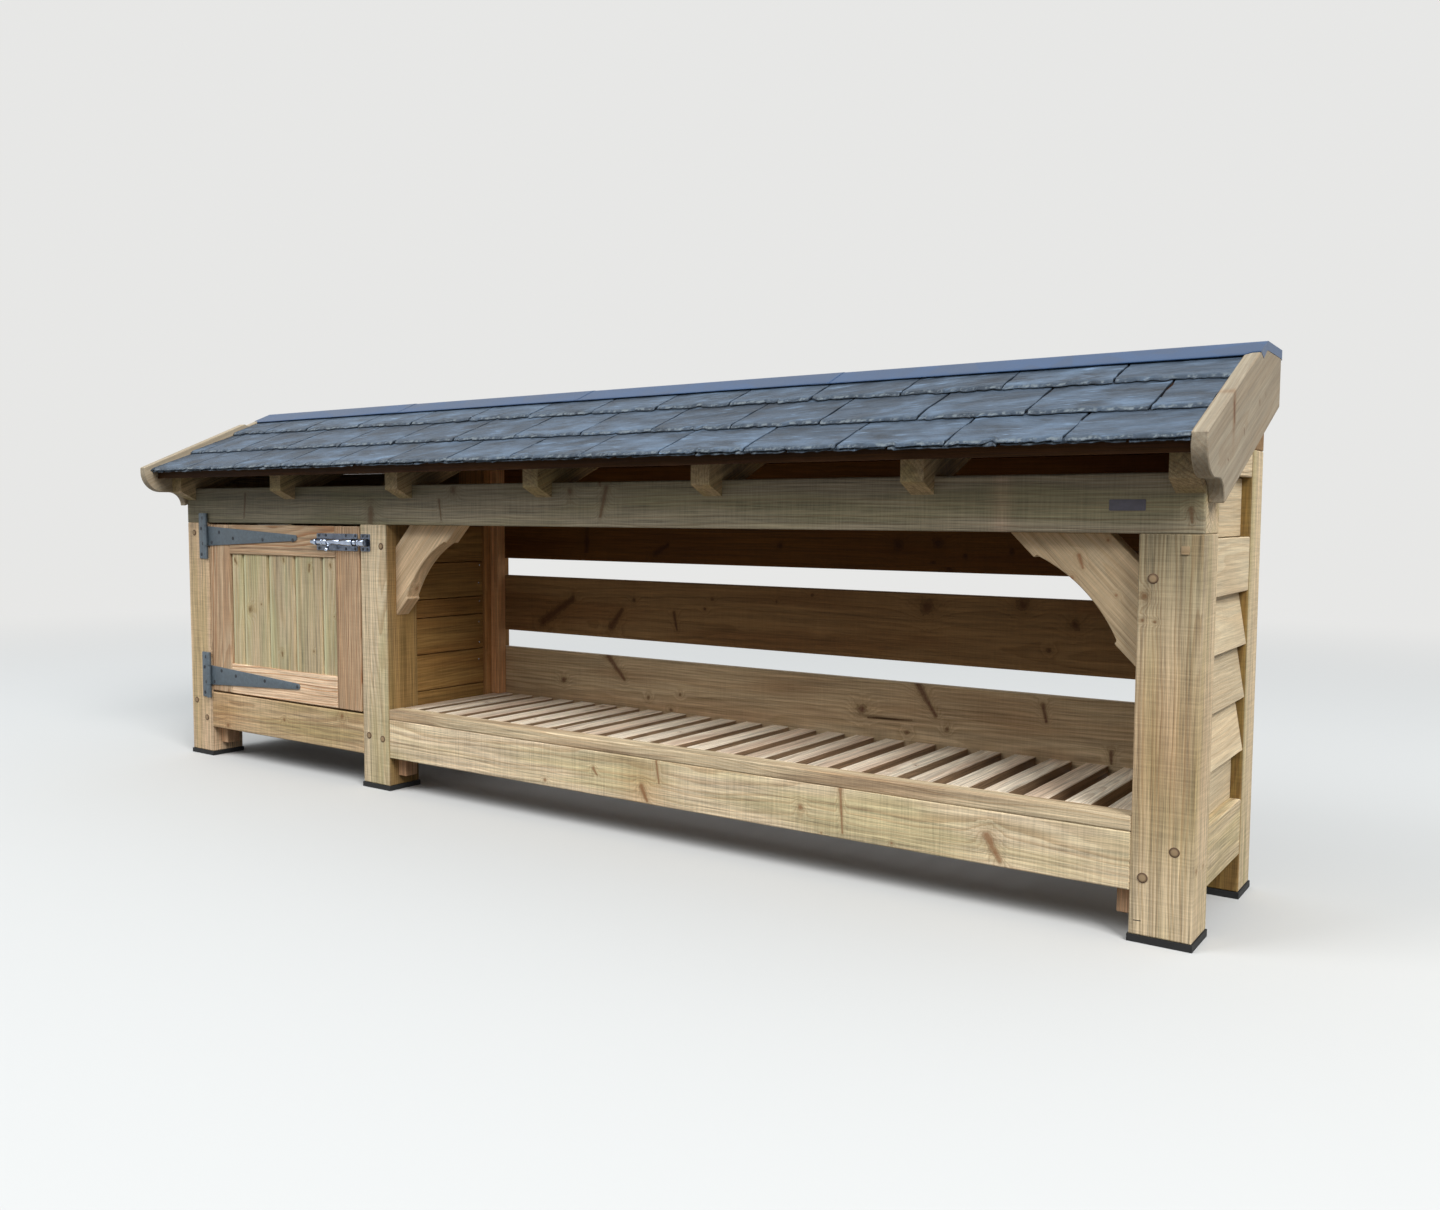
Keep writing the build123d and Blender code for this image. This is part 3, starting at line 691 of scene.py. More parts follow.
def islands(shape):
    """The separate solids of a bmesh, each as a list of its vertices."""
    left, found = set(shape.verts), []
    while left:
        group, rim = [], [left.pop()]
        while rim:
            vertex = rim.pop()
            group.append(vertex)
            for link in vertex.link_edges:
                other = link.other_vert(vertex)
                if other in left:
                    left.remove(other)
                    rim.append(other)
        found.append(group)

    def place(group):
        return tuple(round(sum(v.co[i] for v in group) / len(group), 4) for i in (0, 2, 1))

    return sorted(found, key=place)


def dress_boards(node, name, kind, grain, seed, lean=0.0, slope=0.0, sides=None):
    """Replaces a node of several boards by the same boards, each with its own grain and lean."""
    chance = random.Random(seed)
    shape, (place_layer, seed_layer, _) = new_shape()
    load_shape(shape, node)
    turn = Euler(GRAIN_TURNS[grain]).to_matrix() @ Matrix.Rotation(-slope, 3, "X")
    for order, vertices in enumerate(islands(shape)):
        middle = sum((v.co for v in vertices), Vector()) / len(vertices)
        own_seed = seed + order * SEED_STEP + chance.random()
        nudge = Matrix.Rotation(chance.uniform(-lean, lean), 3, Vector((1, 1, 1)).normalized())
        for vertex in vertices:
            vertex[place_layer] = turn @ (vertex.co - middle)
            vertex[seed_layer] = own_seed
            vertex.co = middle + nudge @ (vertex.co - middle)
    shape.normal_update()
    if sides:
        for face in shape.faces:
            face.material_index = 1 if abs(face.normal.x) > 0.9 else 0
    second = sides and timber_finish(sides)
    mark(new_piece(name, shape, timber_finish(kind), "store", [node], second=second), node)


BACK_FACE = 388.0
BRACE_FACE = 28.0
SLAT_TOP = 196.0
# The door boards' front, rear, foot and head
DOOR_PANEL = (4.0, 24.0, 263.0, 573.0)
KNOTS = {
    "back_board_lower": facing(1, BACK_FACE, [
        (1260, 323, 1313, 267, 9.0), (1107, 248, 7.0), (1392, 227, 5.0), (1491, 242, 4.0),
        (1997, 256, 11.0), (2130, 325, 2175, 258, 8.0), (2410, 302, 2417, 270, 5.5), (2201, 232, 5.0),
        (2012, 238, 2119, 243, 2.2), (2549, 223, 2550, 200, 5.0),
    ]),
    "back_board_middle": facing(1, BACK_FACE, [
        (1033, 401, 1140, 465, 14.0), (1270, 399, 1306, 444, 11.0), (2150, 492, 16.0), (2363, 506, 13.0),
        (2471, 471, 10.0), (1346, 471, 5.5), (1587, 484, 4.5), (1566, 459, 4.0), (1865, 505, 4.0),
        (1472, 445, 1481, 403, 5.0),
    ]),
    "back_board_upper": facing(1, BACK_FACE, [
        (1416, 592, 1453, 613, 9.0), (2080, 623, 12.0), (2173, 629, 12.0), (1779, 616, 7.0),
        (2235, 603, 5.5), (2337, 614, 7.0),
    ]),
    "bay_front_rail": facing(1, 0.0, [
        (1541, 131, 1552, 117, 3.2), (1715, 170, 1723, 122, 3.0), (1675, 109, 1691, 79, 6.0),
        (2157, 174, 2163, 84, 3.4), (2453, 124, 2476, 83, 8.5), (2267, 81, 2.4), (2117, 77, 1.8),
        (1397, 86, 3.5),
    ]),
    "floor_slats": facing(2, SLAT_TOP, [
        (1644, 182, 3.5), (2234, 165, 2238, 160, 2.5), (1260, 115, 1262, 112, 2.0),
    ]),
    "front_beam": facing(1, 0.0, [
        (1580, 744, 1563, 684, 6.5), (1557, 775, 1563, 749, 4.0), (282, 740, 274, 674, 3.5),
        (1059, 721, 1066, 673, 3.0), (2779, 701, 2781, 679, 4.0),
    ]),
    "cupboard_front_rail": facing(1, 0.0, [(437, 126, 4.0), (683, 160, 6.0), (175, 84, 5.0)]),
    "front_post_right": facing(1, 0.0, [(2711, 559, 6.0), (2729, 518, 2.4), (2709, 520, 3.0)])
    + facing(0, 2800.0, [(18, 116, 18, 112, 4.0), (64, 115, 64, 111, 3.6)]),
    "bargeboard_right": facing(0, 2825.0, [
        (60, 866, 68, 838, 4.5), (300, 901, 302, 895, 2.0), (252, 885, 254, 878, 2.4),
        (138, 830, 140, 822, 2.2), (29, 778, 34, 776, 2.5),
    ]),
    "door_panel": facing(1, DOOR_PANEL[0], [
        (220, 558, 229, 546, 4.6), (442, 564, 444, 557, 4.2), (553, 551, 552, 534, 4.2),
        (640, 554, 643, 547, 4.6), (207, 424, 208, 418, 3.0), (287, 421, 8.5), (339, 437, 3.4),
        (428, 309, 430, 300, 4.0), (566, 322, 3.4), (653, 419, 2.4),
    ]),
    "brace_right": facing(1, BRACE_FACE, [
        (2594, 622, 2601, 601, 4.0), (2583, 583, 4.5), (2658, 557, 2.6), (2642, 648, 2.6),
    ]),
    "brace_left": facing(1, BRACE_FACE, [(1058, 617, 1072, 596, 4.0), (1005, 575, 3.5)])
    + [((908, 53, 501), (928, 53, 501), 7.0)],
}


FAR = 90000
EVERYWHERE = (FAR, FAR, FAR)


def all_over(*tone):
    """A tone that covers a whole piece; on some pieces it is painted shade, on some painted light."""
    return (1400, 200, 400), EVERYWHERE, tone


# Stains, and painted shade and painted light: several tones make a piece or a face lighter or darker than its
# timber's colour.
STAINS_AND_PAINTED_LIGHT = {
    # Painted light on the lower back board and painted shade on the middle and upper ones, over their own
    # paler and browner colours; the lower board also has a dark crack.
    "back_board_lower": [all_over(1.66, 1.95, 2.4), ((2060, 388, 240), (62, 60, 3.0), (0.2, 0.15, 0.12))],
    "back_board_middle": [all_over(0.9, 0.83, 0.72)],
    "back_board_upper": [all_over(0.38, 0.24, 0.1)],
    "back_board_top": [all_over(0.38, 0.24, 0.1)],
    # Painted shade: the rafters darker all over, as under the roof.
    "rafters": [all_over(0.74, 0.69, 0.6)],
    # Painted shade on the middle post's inner side face; the front face is lighter near its middle.
    "front_post_middle": [
        ((817, 0, 400), (60, 30, FAR), (1.08, 1.1, 1.14)),
        ((867.5, 60, 380), (2.5, 150, FAR), (0.42, 0.31, 0.15)),
    ],
    "bargeboard_left": [all_over(0.62, 0.68, 0.78)],
    # Painted shade: the right bargeboard darker all over, as its outer face meets the key lamp; the second
    # tone is a knot's streak.
    "bargeboard_right": [all_over(0.53, 0.58, 0.67), ((2825, 62, 856), (40, 9, 46), (0.72, 0.52, 0.38))],
    "door_rail_bottom": [all_over(1.7, 1.82, 2.0)],
    # Painted shade on the top of the right post, as under the eaves; the lower tone is a stain.
    "front_post_right": [
        ((2745, 0, 310), (90, 80, 170), (0.80, 0.70, 0.62)),
        ((2745, 0, 650), (90, 70, 150), (0.44, 0.45, 0.42)),
    ],
    "front_beam": [
        ((2467, 0, 708), (16, 60, 160), (1.35, 1.22, 1.25)),
        ((1400, 0, 700), (FAR, 8, FAR), (0.53, 0.56, 0.60)),
        ((150, 0, 700), (1100, 30, FAR), (0.62, 0.65, 0.64)),
    ],
    "rear_post_middle": [all_over(1.3, 1.05, 0.8)],
    "corner_batten": [all_over(0.72, 0.45, 0.27)],
    "bay_nosing": [all_over(0.82, 0.76, 0.63)],
    "end_boards_right": [all_over(1.05, 1.13, 1.20)],
    "end_boards_left": [all_over(1.05, 1.13, 1.20)],
    "ledger_cleats": [all_over(0.80, 0.60, 0.46)],
    "floor_ledgers": [all_over(1.7, 1.35, 1.15)],
    "brace_left": [all_over(1.22, 1.2, 1.22)],
    "front_post_left": [all_over(1.22, 1.12, 1.12)],
    # Painted shade on the front face of the rear right post.
    "rear_post_right": [((2750, 338, 400), (200, 6, FAR), (0.42, 0.31, 0.14))],
    "partition_boards": [all_over(1.03, 0.93, 0.62)],
    "cupboard_front_rail": [((150, 0, 120), (90, 60, 60), (0.9, 0.78, 0.66)), all_over(0.95, 0.86, 0.78)],
    "bay_front_rail": [((1680, 0, 100), (60, 60, 60), (0.92, 0.82, 0.72)), all_over(1.2, 1.21, 1.28)],
}


class LOGSTORE_OT_finish_frame(bpy.types.Operator):
    """Gives the posts, beams, rails, braces and bargeboards their grain"""

    bl_idname = "logstore.finish_frame"
    bl_label = "Finish the frame's timbers"

    def execute(self, context):
        kinds = {
            "frame": (
                "front_post_left:z:3.1 front_post_middle:z:5.4 front_post_right:z:8.2 rear_post_left:z:1.7 "
                "rear_post_right:z:6.6 front_beam:x:2.3 cupboard_front_rail:x:9.3 bay_front_rail:x:4.2 "
                "gable_board_left:y:2.2 gable_board_right:y:9.7"
            ),
            "brown": (
                "rear_post_middle:z:4.9 rear_beam:x:7.8 back_board_lower:x:3.6 back_board_middle:x:8.9 "
                "back_board_upper:x:5.8 back_board_top:x:6.3 cupboard_floor:x:2.8"
            ),
            "deck": "roof_deck:x:7.1 rear_roof_board:x:1.3",
            "slat": "bay_nosing:x:6.1 corner_batten:z:2.7",
            "pale": "bargeboard_left:y:5.5 bargeboard_right:y:3.9 brace_left:z:4.4 brace_right:z:8.5",
            "door": (
                "door_stile_hinge:z:6.4 door_stile_latch:z:1.9 door_rail_top:x:7.7 door_rail_bottom:x:3.3"
            ),
        }
        for kind, timbers in kinds.items():
            for timber in timbers.split():
                node, grain, seed = timber.split(":")
                finish_node(node, kind, grain, float(seed))
        for node, angle in (("brace_left", -44.0), ("brace_right", 44.0)):
            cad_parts[node]["grain_turn"] = [0.0, math.radians(90.0 + angle), 0.0]
        for node in ("bargeboard_left", "bargeboard_right"):
            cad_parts[node]["grain_turn"] = [-ROOF_PITCH, 0.0, math.radians(-90.0)]
        paint(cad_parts["post_pads"], mottled_finish("rubber"))
        return {"FINISHED"}


class LOGSTORE_OT_lay_boards(bpy.types.Operator):
    """Lays the boards, slats and rafters, each with its own grain"""

    bl_idname = "logstore.lay_boards"
    bl_label = "Lay the boards, slats and rafters"

    def execute(self, context):
        # The slats' sides take the darker timber: painted shade in the gaps
        dress_boards("floor_slats", "bay_slats", "slat", "y", 11.0, lean=0.0015, sides="shade")
        dress_boards("partition_boards", "partition", "brown", "y", 23.0)
        dress_boards("end_boards_left", "left_end_boards", "pale", "y", 37.0)
        dress_boards("end_boards_right", "right_end_boards", "pale", "y", 41.0)
        dress_boards("cupboard_back_boards", "cupboard_back", "brown", "x", 53.0)
        dress_boards("rafters", "rafter_row", "frame", "y", 61.0, slope=ROOF_PITCH)
        dress_boards("rear_rails", "rear_rail_pair", "brown", "x", 67.0)
        dress_boards("side_rails", "side_rail_pair", "frame", "y", 71.0)
        dress_boards("floor_ledgers", "ledger_pair", "brown", "x", 73.0)
        dress_boards("ledger_cleats", "cleat_row", "slat", "z", 79.0)
        return {"FINISHED"}


# Shapes


def join_loops(shape, first, second):
    """Adds the faces between two closed loops of as many vertices."""
    for i, a in enumerate(first):
        j = (i + 1) % len(first)
        shape.faces.new([a, first[j], second[j], second[i]])


def add_turned(shape, layers, foot, axis, profile, steps=24, seed=0.0, painted_shade_from=None):
    """Adds a turned shape. The profile is a list of radius and height in millimetres, from its foot."""
    place_layer, seed_layer, edge_layer = layers
    foot, axis = spot(*foot), Vector(axis).normalized()
    first = axis.orthogonal().normalized()
    second = axis.cross(first)
    rings = []
    for radius, height in profile:
        ring = []
        count = 1 if radius == 0 else steps
        for i in range(count):
            angle = 2 * math.pi * i / steps
            out = (first * math.cos(angle) + second * math.sin(angle)) * radius * MM
            vertex = shape.verts.new(foot + out + axis * height * MM)
            vertex[place_layer] = Vector((out.dot(first), out.dot(second), 0.0))
            vertex[seed_layer] = seed
            vertex[edge_layer] = 1.0 if painted_shade_from is not None and radius >= painted_shade_from else 0.0
            ring.append(vertex)
        rings.append(ring)
    for low, high in zip(rings, rings[1:]):
        if len(low) == len(high):
            join_loops(shape, low, high)
            continue
        for i in range(steps):
            j = (i + 1) % steps
            shape.faces.new([low[0], high[j], high[i]] if len(low) == 1 else [low[i], low[j], high[0]])
    for ring, order in ((rings[0], -1), (rings[-1], 1)):
        if len(ring) > 1:
            shape.faces.new(ring[::order])


def add_sheet(shape, outline, back, front, ease):
    """Adds a flat plate facing the front. The outline is a list of x and z, back and front are y."""
    rear, face = ([shape.verts.new(spot(x, y, z)) for x, z in outline] for y in (back, front))
    shape.faces.new(rear)
    shape.faces.new(face[::-1])
    join_loops(shape, face, rear)
    rim = [shape.edges.get(pair) for pair in zip(face, face[1:] + face[:1])]
    bmesh.ops.bevel(shape, geom=rim, offset=ease * MM, segments=2, affect="EDGES", profile=0.5)


def rounded(x0, z0, x1, z1, radius, steps=5):
    """The outline of a rectangle with rounded corners."""
    right, left, top, foot = x1 - radius, x0 + radius, z1 - radius, z0 + radius
    outline = []
    for x, z, start in ((right, top, 0), (left, top, 90), (left, foot, 180), (right, foot, 270)):
        for i in range(steps + 1):
            angle = math.radians(start + 90 * i / steps)
            outline.append((x + radius * math.cos(angle), z + radius * math.sin(angle)))
    return outline


# Radius as a share of the head's, and height
SCREW_HEAD = ((0.9, 0), (0.84, 0.4), (0.6, 0.7), (0.3, 0.8))


def add_screw(shape, layers, x, y, z, radius, turn):
    """Adds a screw's countersunk head, slightly domed, with a cross cut in it; the dark seat round the head
    is painted shade of the countersink.
    """
    before = set(shape.faces)
    shaded_seat = radius * 1.25
    head = [(radius * share, height) for share, height in SCREW_HEAD]
    add_turned(shape, layers, (x, y, z), (0, -1, 0), [(shaded_seat, -0.4), (shaded_seat, 0.12), (radius, 0.14)], 16)
    add_turned(shape, layers, (x, y, z), (0, -1, 0), head, 16)
    for angle in (turn, turn + math.pi / 2):
        c, s = math.cos(angle) * radius * 0.62, math.sin(angle) * radius * 0.62
        corners = ((-1, -1), (1, -1), (1, 1), (-1, 1))
        cut = [spot(x + c * a - s * b * 0.3, y - 0.9, z + s * a + c * b * 0.3) for a, b in corners]
        top = [shape.verts.new(v) for v in cut]
        bottom = [shape.verts.new(v + Vector((0, 0.0004, 0))) for v in cut]
        shape.faces.new(top)
        shape.faces.new(bottom[::-1])
        join_loops(shape, bottom, top)
    for face in set(shape.faces) - before:
        face.material_index = 1


# Slates

SLATE_JOINTS = [
    (2609, 2408, 2201, 2003, 1803, 1600, 1399, 1198, 1001, 797, 594, 388, 178),
    (2708, 2500, 2297, 2093, 1890, 1690, 1492, 1290, 1090, 878, 672, 450, 245, 60),
    (2606, 2402, 2197, 1992, 1792, 1594, 1408, 1208, 999, 789, 573, 350, 160),
]
SLATE_EDGES = [-110.0, 15.0, 152.0, 300.0]
SLATE_LAP = 60.0
EDGE_ROWS = [0.0, 1.0, 2.2, 3.8, 6.0, 9.0, 13.0, 19.0]
BODY_ROWS = 6
SLATE_COLUMNS = 52
COURSE_SINK = (7.4, 7.4, 3.4)
EAVES_SLATE = 88.0
# The tail's wandering has died away this far up the slate
WANDER_RUN = 50.0


def lay_slate(shape, layers, left, right, low, high, thickness, wander, chance, lift, sink):
    """Adds one slate to the roof. Its places are millimetres, and it sinks towards its head."""
    place_layer, seed_layer, edge_layer = layers
    own = chance.random() * 97.0
    skew, tip = chance.uniform(-1.5, 1.5), chance.uniform(-0.7, 0.7)
    length = high - low
    last_edge = EDGE_ROWS[-1]
    rows = EDGE_ROWS + [last_edge + (length - last_edge) * k / BODY_ROWS for k in range(1, BODY_ROWS + 1)]
    grid = {}
    for i in range(SLATE_COLUMNS + 1):
        share = i / SLATE_COLUMNS
        centred = 2.0 * share - 1.0
        beside = abs(centred) ** 10 * math.copysign(1.0, centred)
        for j, run in enumerate(rows):
            x = left + (right - left) * share
            fade = max(0.0, 1.0 - run / WANDER_RUN)
            rough = noise.fractal(Vector((x * 0.045, own, 0.0)), 0.8, 2.3, 4)
            bite = max(0.0, noise.noise(Vector((x * 0.05, own, 3.0))) - 0.2) * 3.0
            y = low + run + (1.2 * rough + bite) * wander * fade + skew * centred * fade
            x += noise.fractal(Vector((run * 0.05, own, 7.0)), 0.8, 2.3, 3) * wander * 0.8 * beside
            top = lift - sink * min(1.0, run / (length - SLATE_LAP)) if length > SLATE_LAP * 1.5 else lift
            top += tip * centred * fade + 0.45 * noise.noise(Vector((x * 0.013, y * 0.013, own)))
            bottom = top - thickness
            # Towards the tail the face falls off in a dressed edge, with terraces where flakes broke away
            flake = noise.fractal(Vector((x * 0.07, run * 0.12, own)), 0.9, 2.2, 3)
            width = 7.0 + 6.0 * noise.noise(Vector((x * 0.03, own, 11.0))) + 2.5 * flake
            bevel = max(0.0, 1.0 - run / max(width, 1.5))
            terraces = math.floor(bevel * 4.0 + 0.4 * flake) / 4.0
            top -= max(0.0, min(0.62, 0.25 * bevel + 0.5 * terraces)) * thickness
            for layer, level in ((1, top), (0, bottom)):
                vertex = shape.verts.new(spot(x, y, roof_line(y) + level / math.cos(ROOF_PITCH)))
                vertex[place_layer] = Vector((x * MM, run * MM, 0.0))
                vertex[seed_layer] = own
                # The underside is marked -1, where its painted shade goes
                vertex[edge_layer] = min(1.0, bevel * 1.6) if layer else -1.0
                grid[layer, i, j] = vertex
    last = len(rows) - 1
    for i in range(SLATE_COLUMNS):
        for j in range(last):
            shape.faces.new([grid[1, i, j], grid[1, i + 1, j], grid[1, i + 1, j + 1], grid[1, i, j + 1]])
            shape.faces.new([grid[0, i, j + 1], grid[0, i + 1, j + 1], grid[0, i + 1, j], grid[0, i, j]])
        for j in (0, last):
            shape.faces.new([grid[0, i, j], grid[0, i + 1, j], grid[1, i + 1, j], grid[1, i, j]])
    for j in range(last):
        for i in (0, SLATE_COLUMNS):
            shape.faces.new([grid[0, i, j + 1], grid[0, i, j], grid[1, i, j], grid[1, i, j + 1]])


class LOGSTORE_OT_lay_slates(bpy.types.Operator):
    """Lays the courses of riven slates with broken joints"""

    bl_idname = "logstore.lay_slates"
    bl_label = "Lay the slates"

    def execute(self, context):
        sizes = context.scene.log_store_sizes
        gap, thickness, wander = sizes.slate_gap / MM, sizes.slate_thickness / MM, sizes.slate_chipping / MM
        chance = random.Random(17)
        shape, layers = new_shape()
        length = (RIGHT - LEFT) / MM
        for order, joints in enumerate([SLATE_JOINTS[1]] + SLATE_JOINTS):
            eaves = order == 0
            course = max(0, order - 1)
            low = SLATE_EDGES[course]
            high = SLATE_EDGES[course + 1] + (SLATE_LAP if course < 2 else -4.0)
            ends = [length + gap / 2, *joints, -gap / 2]
            for right, left in zip(ends, ends[1:]):
                start = low + chance.uniform(-1.5, 1.5)
                span = (left + gap / 2, right - gap / 2)
                made = (thickness, wander, chance)
                if eaves:
                    lay_slate(shape, layers, *span, start + 5.0, low + EAVES_SLATE, *made, -6.5, 0.0)
                else:
                    lay_slate(shape, layers, *span, start, high, *made, -0.6, COURSE_SINK[course])
        finish = material("riven_slate", slate_sockets)
        new_piece("slate_courses", shape, finish, "store", ["slates"], angle=50.0)
        return {"FINISHED"}


FLASHING_LAPS = (0.0, 640.0, 1290.0, 1990.0, 2800.0)
FLASHING_OVER = 25.6
FLASHING_BACK = 10.0
FLASHING_LAP = 45.0
# Depth from the front, and how far below the outer face
FLASHING_PATH = (
    (236.8, 2.6), (236.0, 1.3), (236.2, 0.3),
    *((y, 0.0) for y in (238.0, 247.0, 256.0, 265.0, 272.0, 282.0, 292.0, 297.5)),
    (300.0, 0.5),
    *((y, 0.0) for y in (302.5, 312.0, 350.0, 395.0, 427.0)),
    (429.3, 0.4), (429.6, 2.5),
)
STORE_LENGTH = 2800.0
STRIP_END, STRIP_WIDTH = 262.0, 26.0
# How far the ends turn down, in front of the shoulder and behind it
SHOULDER, FRONT_DROP, REAR_DROP = 272.0, 21.0, 16.0
SHEET_LIFT = 1.72


def flashing_place(x, y, fold, hem, tuck):
    """A place on the sheet's outer face. A fold of 1 is the foot of the turned-down end."""
    over = max(0.0, -x, x - STORE_LENGTH) / FLASHING_OVER
    if y < STRIP_END:
        y += FLASHING_BACK * min(1.0, over * 2.0) * (STRIP_END - y) / STRIP_WIDTH
        y += 1.1 * noise.noise(Vector((x * 0.006, 4.0, 1.0))) * (STRIP_END - y) / STRIP_WIDTH
    level = min(roof_line(y), roof_line(RIDGE) - (y - RIDGE) * REAR_SLOPE)
    behind = y - SHOULDER
    drop = max(REAR_DROP, FRONT_DROP - behind / 4.0)
    if behind < 0.0:
        drop = max(0.0, FRONT_DROP * (1.0 + behind / STRIP_WIDTH))
    wave = 0.22 * noise.noise(Vector((x * 0.008, y * 0.02, 2.0)))
    return spot(x, y, level + SHEET_LIFT + wave - tuck - hem - drop * fold)


class LOGSTORE_OT_fold_flashing(bpy.types.Operator):
    """Folds the flashing over the ridge, with laps between its lengths and a fold at each end"""

    bl_idname = "logstore.fold_flashing"
    bl_label = "Fold the ridge flashing"

    def execute(self, context):
        wall = context.scene.log_store_sizes.sheet_thickness
        shape = bmesh.new()
        lengths = list(zip(FLASHING_LAPS, FLASHING_LAPS[1:]))
        for order, (left, right) in enumerate(lengths):
            stations = [(left - (FLASHING_LAP if order else 0.0), 0.0)]
            stations += [(left + (right - left) * k / 16, 0.0) for k in range(1, 17)]
            if order == 0:
                turned_down = [(-FLASHING_OVER, fold) for fold in (1.0, 0.5, 0.0)]
                stations = turned_down + [(-12.0, 0.0)] + stations
            if order == len(lengths) - 1:
                turned_down = [(STORE_LENGTH + FLASHING_OVER, fold) for fold in (0.0, 0.5, 1.0)]
                stations += [(STORE_LENGTH + 12.0, 0.0)] + turned_down
            rows = []
            for x, fold in stations:
                tuck = 0.75 * max(0.0, min(1.0, (right - x) / (right - left)))
                places = (flashing_place(x, y, fold, hem, tuck) for y, hem in FLASHING_PATH)
                rows.append([shape.verts.new(place) for place in places])
            for one, other in zip(rows, rows[1:]):
                for i in range(len(FLASHING_PATH) - 1):
                    if min((one[i].co - other[i].co).length, (one[i + 1].co - other[i + 1].co).length) > 1e-7:
                        shape.faces.new([one[i], other[i], other[i + 1], one[i + 1]])
        bmesh.ops.delete(shape, geom=[v for v in shape.verts if not v.link_faces], context="VERTS")
        bmesh.ops.recalc_face_normals(shape, faces=shape.faces)
        bmesh.ops.solidify(shape, geom=list(shape.faces), thickness=wall)
        finish = mottled_finish("flashing")
        new_piece("folded_flashing", shape, finish, "store", ["ridge_flashing"], angle=35.0)
        return {"FINISHED"}


HINGES = {"upper": 622.0, "lower": 223.0}
HINGE_PIN = (98.0, -7.0)
KNUCKLE = 6.5
HINGE_METAL = 2.8
PIN_RADIUS = 3.0
TIP_RADIUS = 8.0
LEAF_REACH = 65.0
LEAF_SCREWS = ((78, 51), (70, 21), (78, -22), (70, -53))
STRAP_ROOT = 28.0
STRAP_TIP = 510.0
STRAP_SCREWS = {
    "upper": ((158, 633), (121, 604), (224, 617), (360, 615), (494, 616)),
    "lower": ((154, 239), (118, 205), (222, 229), (356, 226), (500, 222)),
}


def add_knuckle(shape, layers, foot, run):
    """Adds one knuckle round the hinge's pin, with its ends eased."""
    profile = [(KNUCKLE - 0.7, 0), (KNUCKLE, 0.7), (KNUCKLE, run - 0.7), (KNUCKLE - 0.7, run)]
    add_turned(shape, layers, (*HINGE_PIN, foot), (0, 0, 1), profile)


class LOGSTORE_OT_hang_hinges(bpy.types.Operator):
    """Makes the two tee hinges: a leaf on the post and a tapered strap on the door, with their screws"""

    bl_idname = "logstore.hang_hinges"
    bl_label = "Hang the hinges"

    def execute(self, context):
        finish, screws = mottled_finish("galvanised"), mottled_finish("dark", DARK_METAL)
        pin = HINGE_PIN[0]
        screw = context.scene.log_store_sizes.screw_radius / MM
        gap = STRAP_ROOT + 1
        for level, centre in HINGES.items():
            low, high = centre - LEAF_REACH, centre + LEAF_REACH
            shape, layers = new_shape()
            outline = [
                (59.5, low + 2), (61.5, low), (pin, low), (pin, centre - gap), (89.5, centre - gap),
                (89.5, centre + gap), (pin, centre + gap), (pin, high), (61.5, high), (59.5, high - 2),
            ]
            add_sheet(shape, outline, 0.0, -HINGE_METAL, 0.5)
            for foot in (low, centre + gap):
                add_knuckle(shape, layers, foot, LEAF_REACH - gap)
            rod = [(PIN_RADIUS, 0.2), (PIN_RADIUS, 2 * LEAF_REACH - 0.2)]
            add_turned(shape, layers, (*HINGE_PIN, low), (0, 0, 1), rod)
            for x, rise in LEAF_SCREWS:
                add_screw(shape, layers, x, -HINGE_METAL, centre + rise, screw, rise)
            replaced = [level + "_hinge_leaf"]
            new_piece(level + "_leaf", shape, finish, "store", replaced, 40.0, screws)

            shape, layers = new_shape()
            r = TIP_RADIUS
            end = STRAP_TIP - r
            outline = [(pin, centre + STRAP_ROOT), (pin, centre - STRAP_ROOT), (end, centre - r)]
            angles = (0.5, 1.05, 1.57, 2.1, 2.64)
            outline += [(end + r * math.sin(a), centre - r * math.cos(a)) for a in angles]
            outline.append((end, centre + r))
            add_sheet(shape, outline, 0.0, -HINGE_METAL, 0.6)
            add_knuckle(shape, layers, centre - STRAP_ROOT, 2 * STRAP_ROOT)
            for x, z in STRAP_SCREWS[level]:
                add_screw(shape, layers, x, -HINGE_METAL, z, screw, x)
            replaced = [level + "_hinge_strap"]
            new_piece(level + "_strap", shape, finish, "door", replaced, 40.0, screws)
        return {"FINISHED"}


BOLT_AXIS = (-11.0, 614.0)
BOLT_BAR = 6.5
BOLT_PLATE = (594.0, 758.0)
BOLT_KEEP = (770.0, 806.0)
BOLT_SLOT = (652.0, 704.0)
BOLT_KNOB = 660.0
BOLT_START = 585.0
BOLT_LENGTH = 179.0
BRIDGE_FOOT = 630.0
# Radius less than the bar's, and distance from its end
BAR_END = ((3.5, 0), (1.4, 0.5), (0.4, 1.6), (0, 3.2))
KNOB_PROFILE = [
    (5.0, 5.6), (5.0, 7.2), (3.4, 8.2), (2.7, 11), (2.9, 14), (4.3, 16.5), (5.3, 19.5), (5.5, 22), (5.0, 25),
    (3.4, 27), (0, 27.5),
]
ARC_STEPS = 14


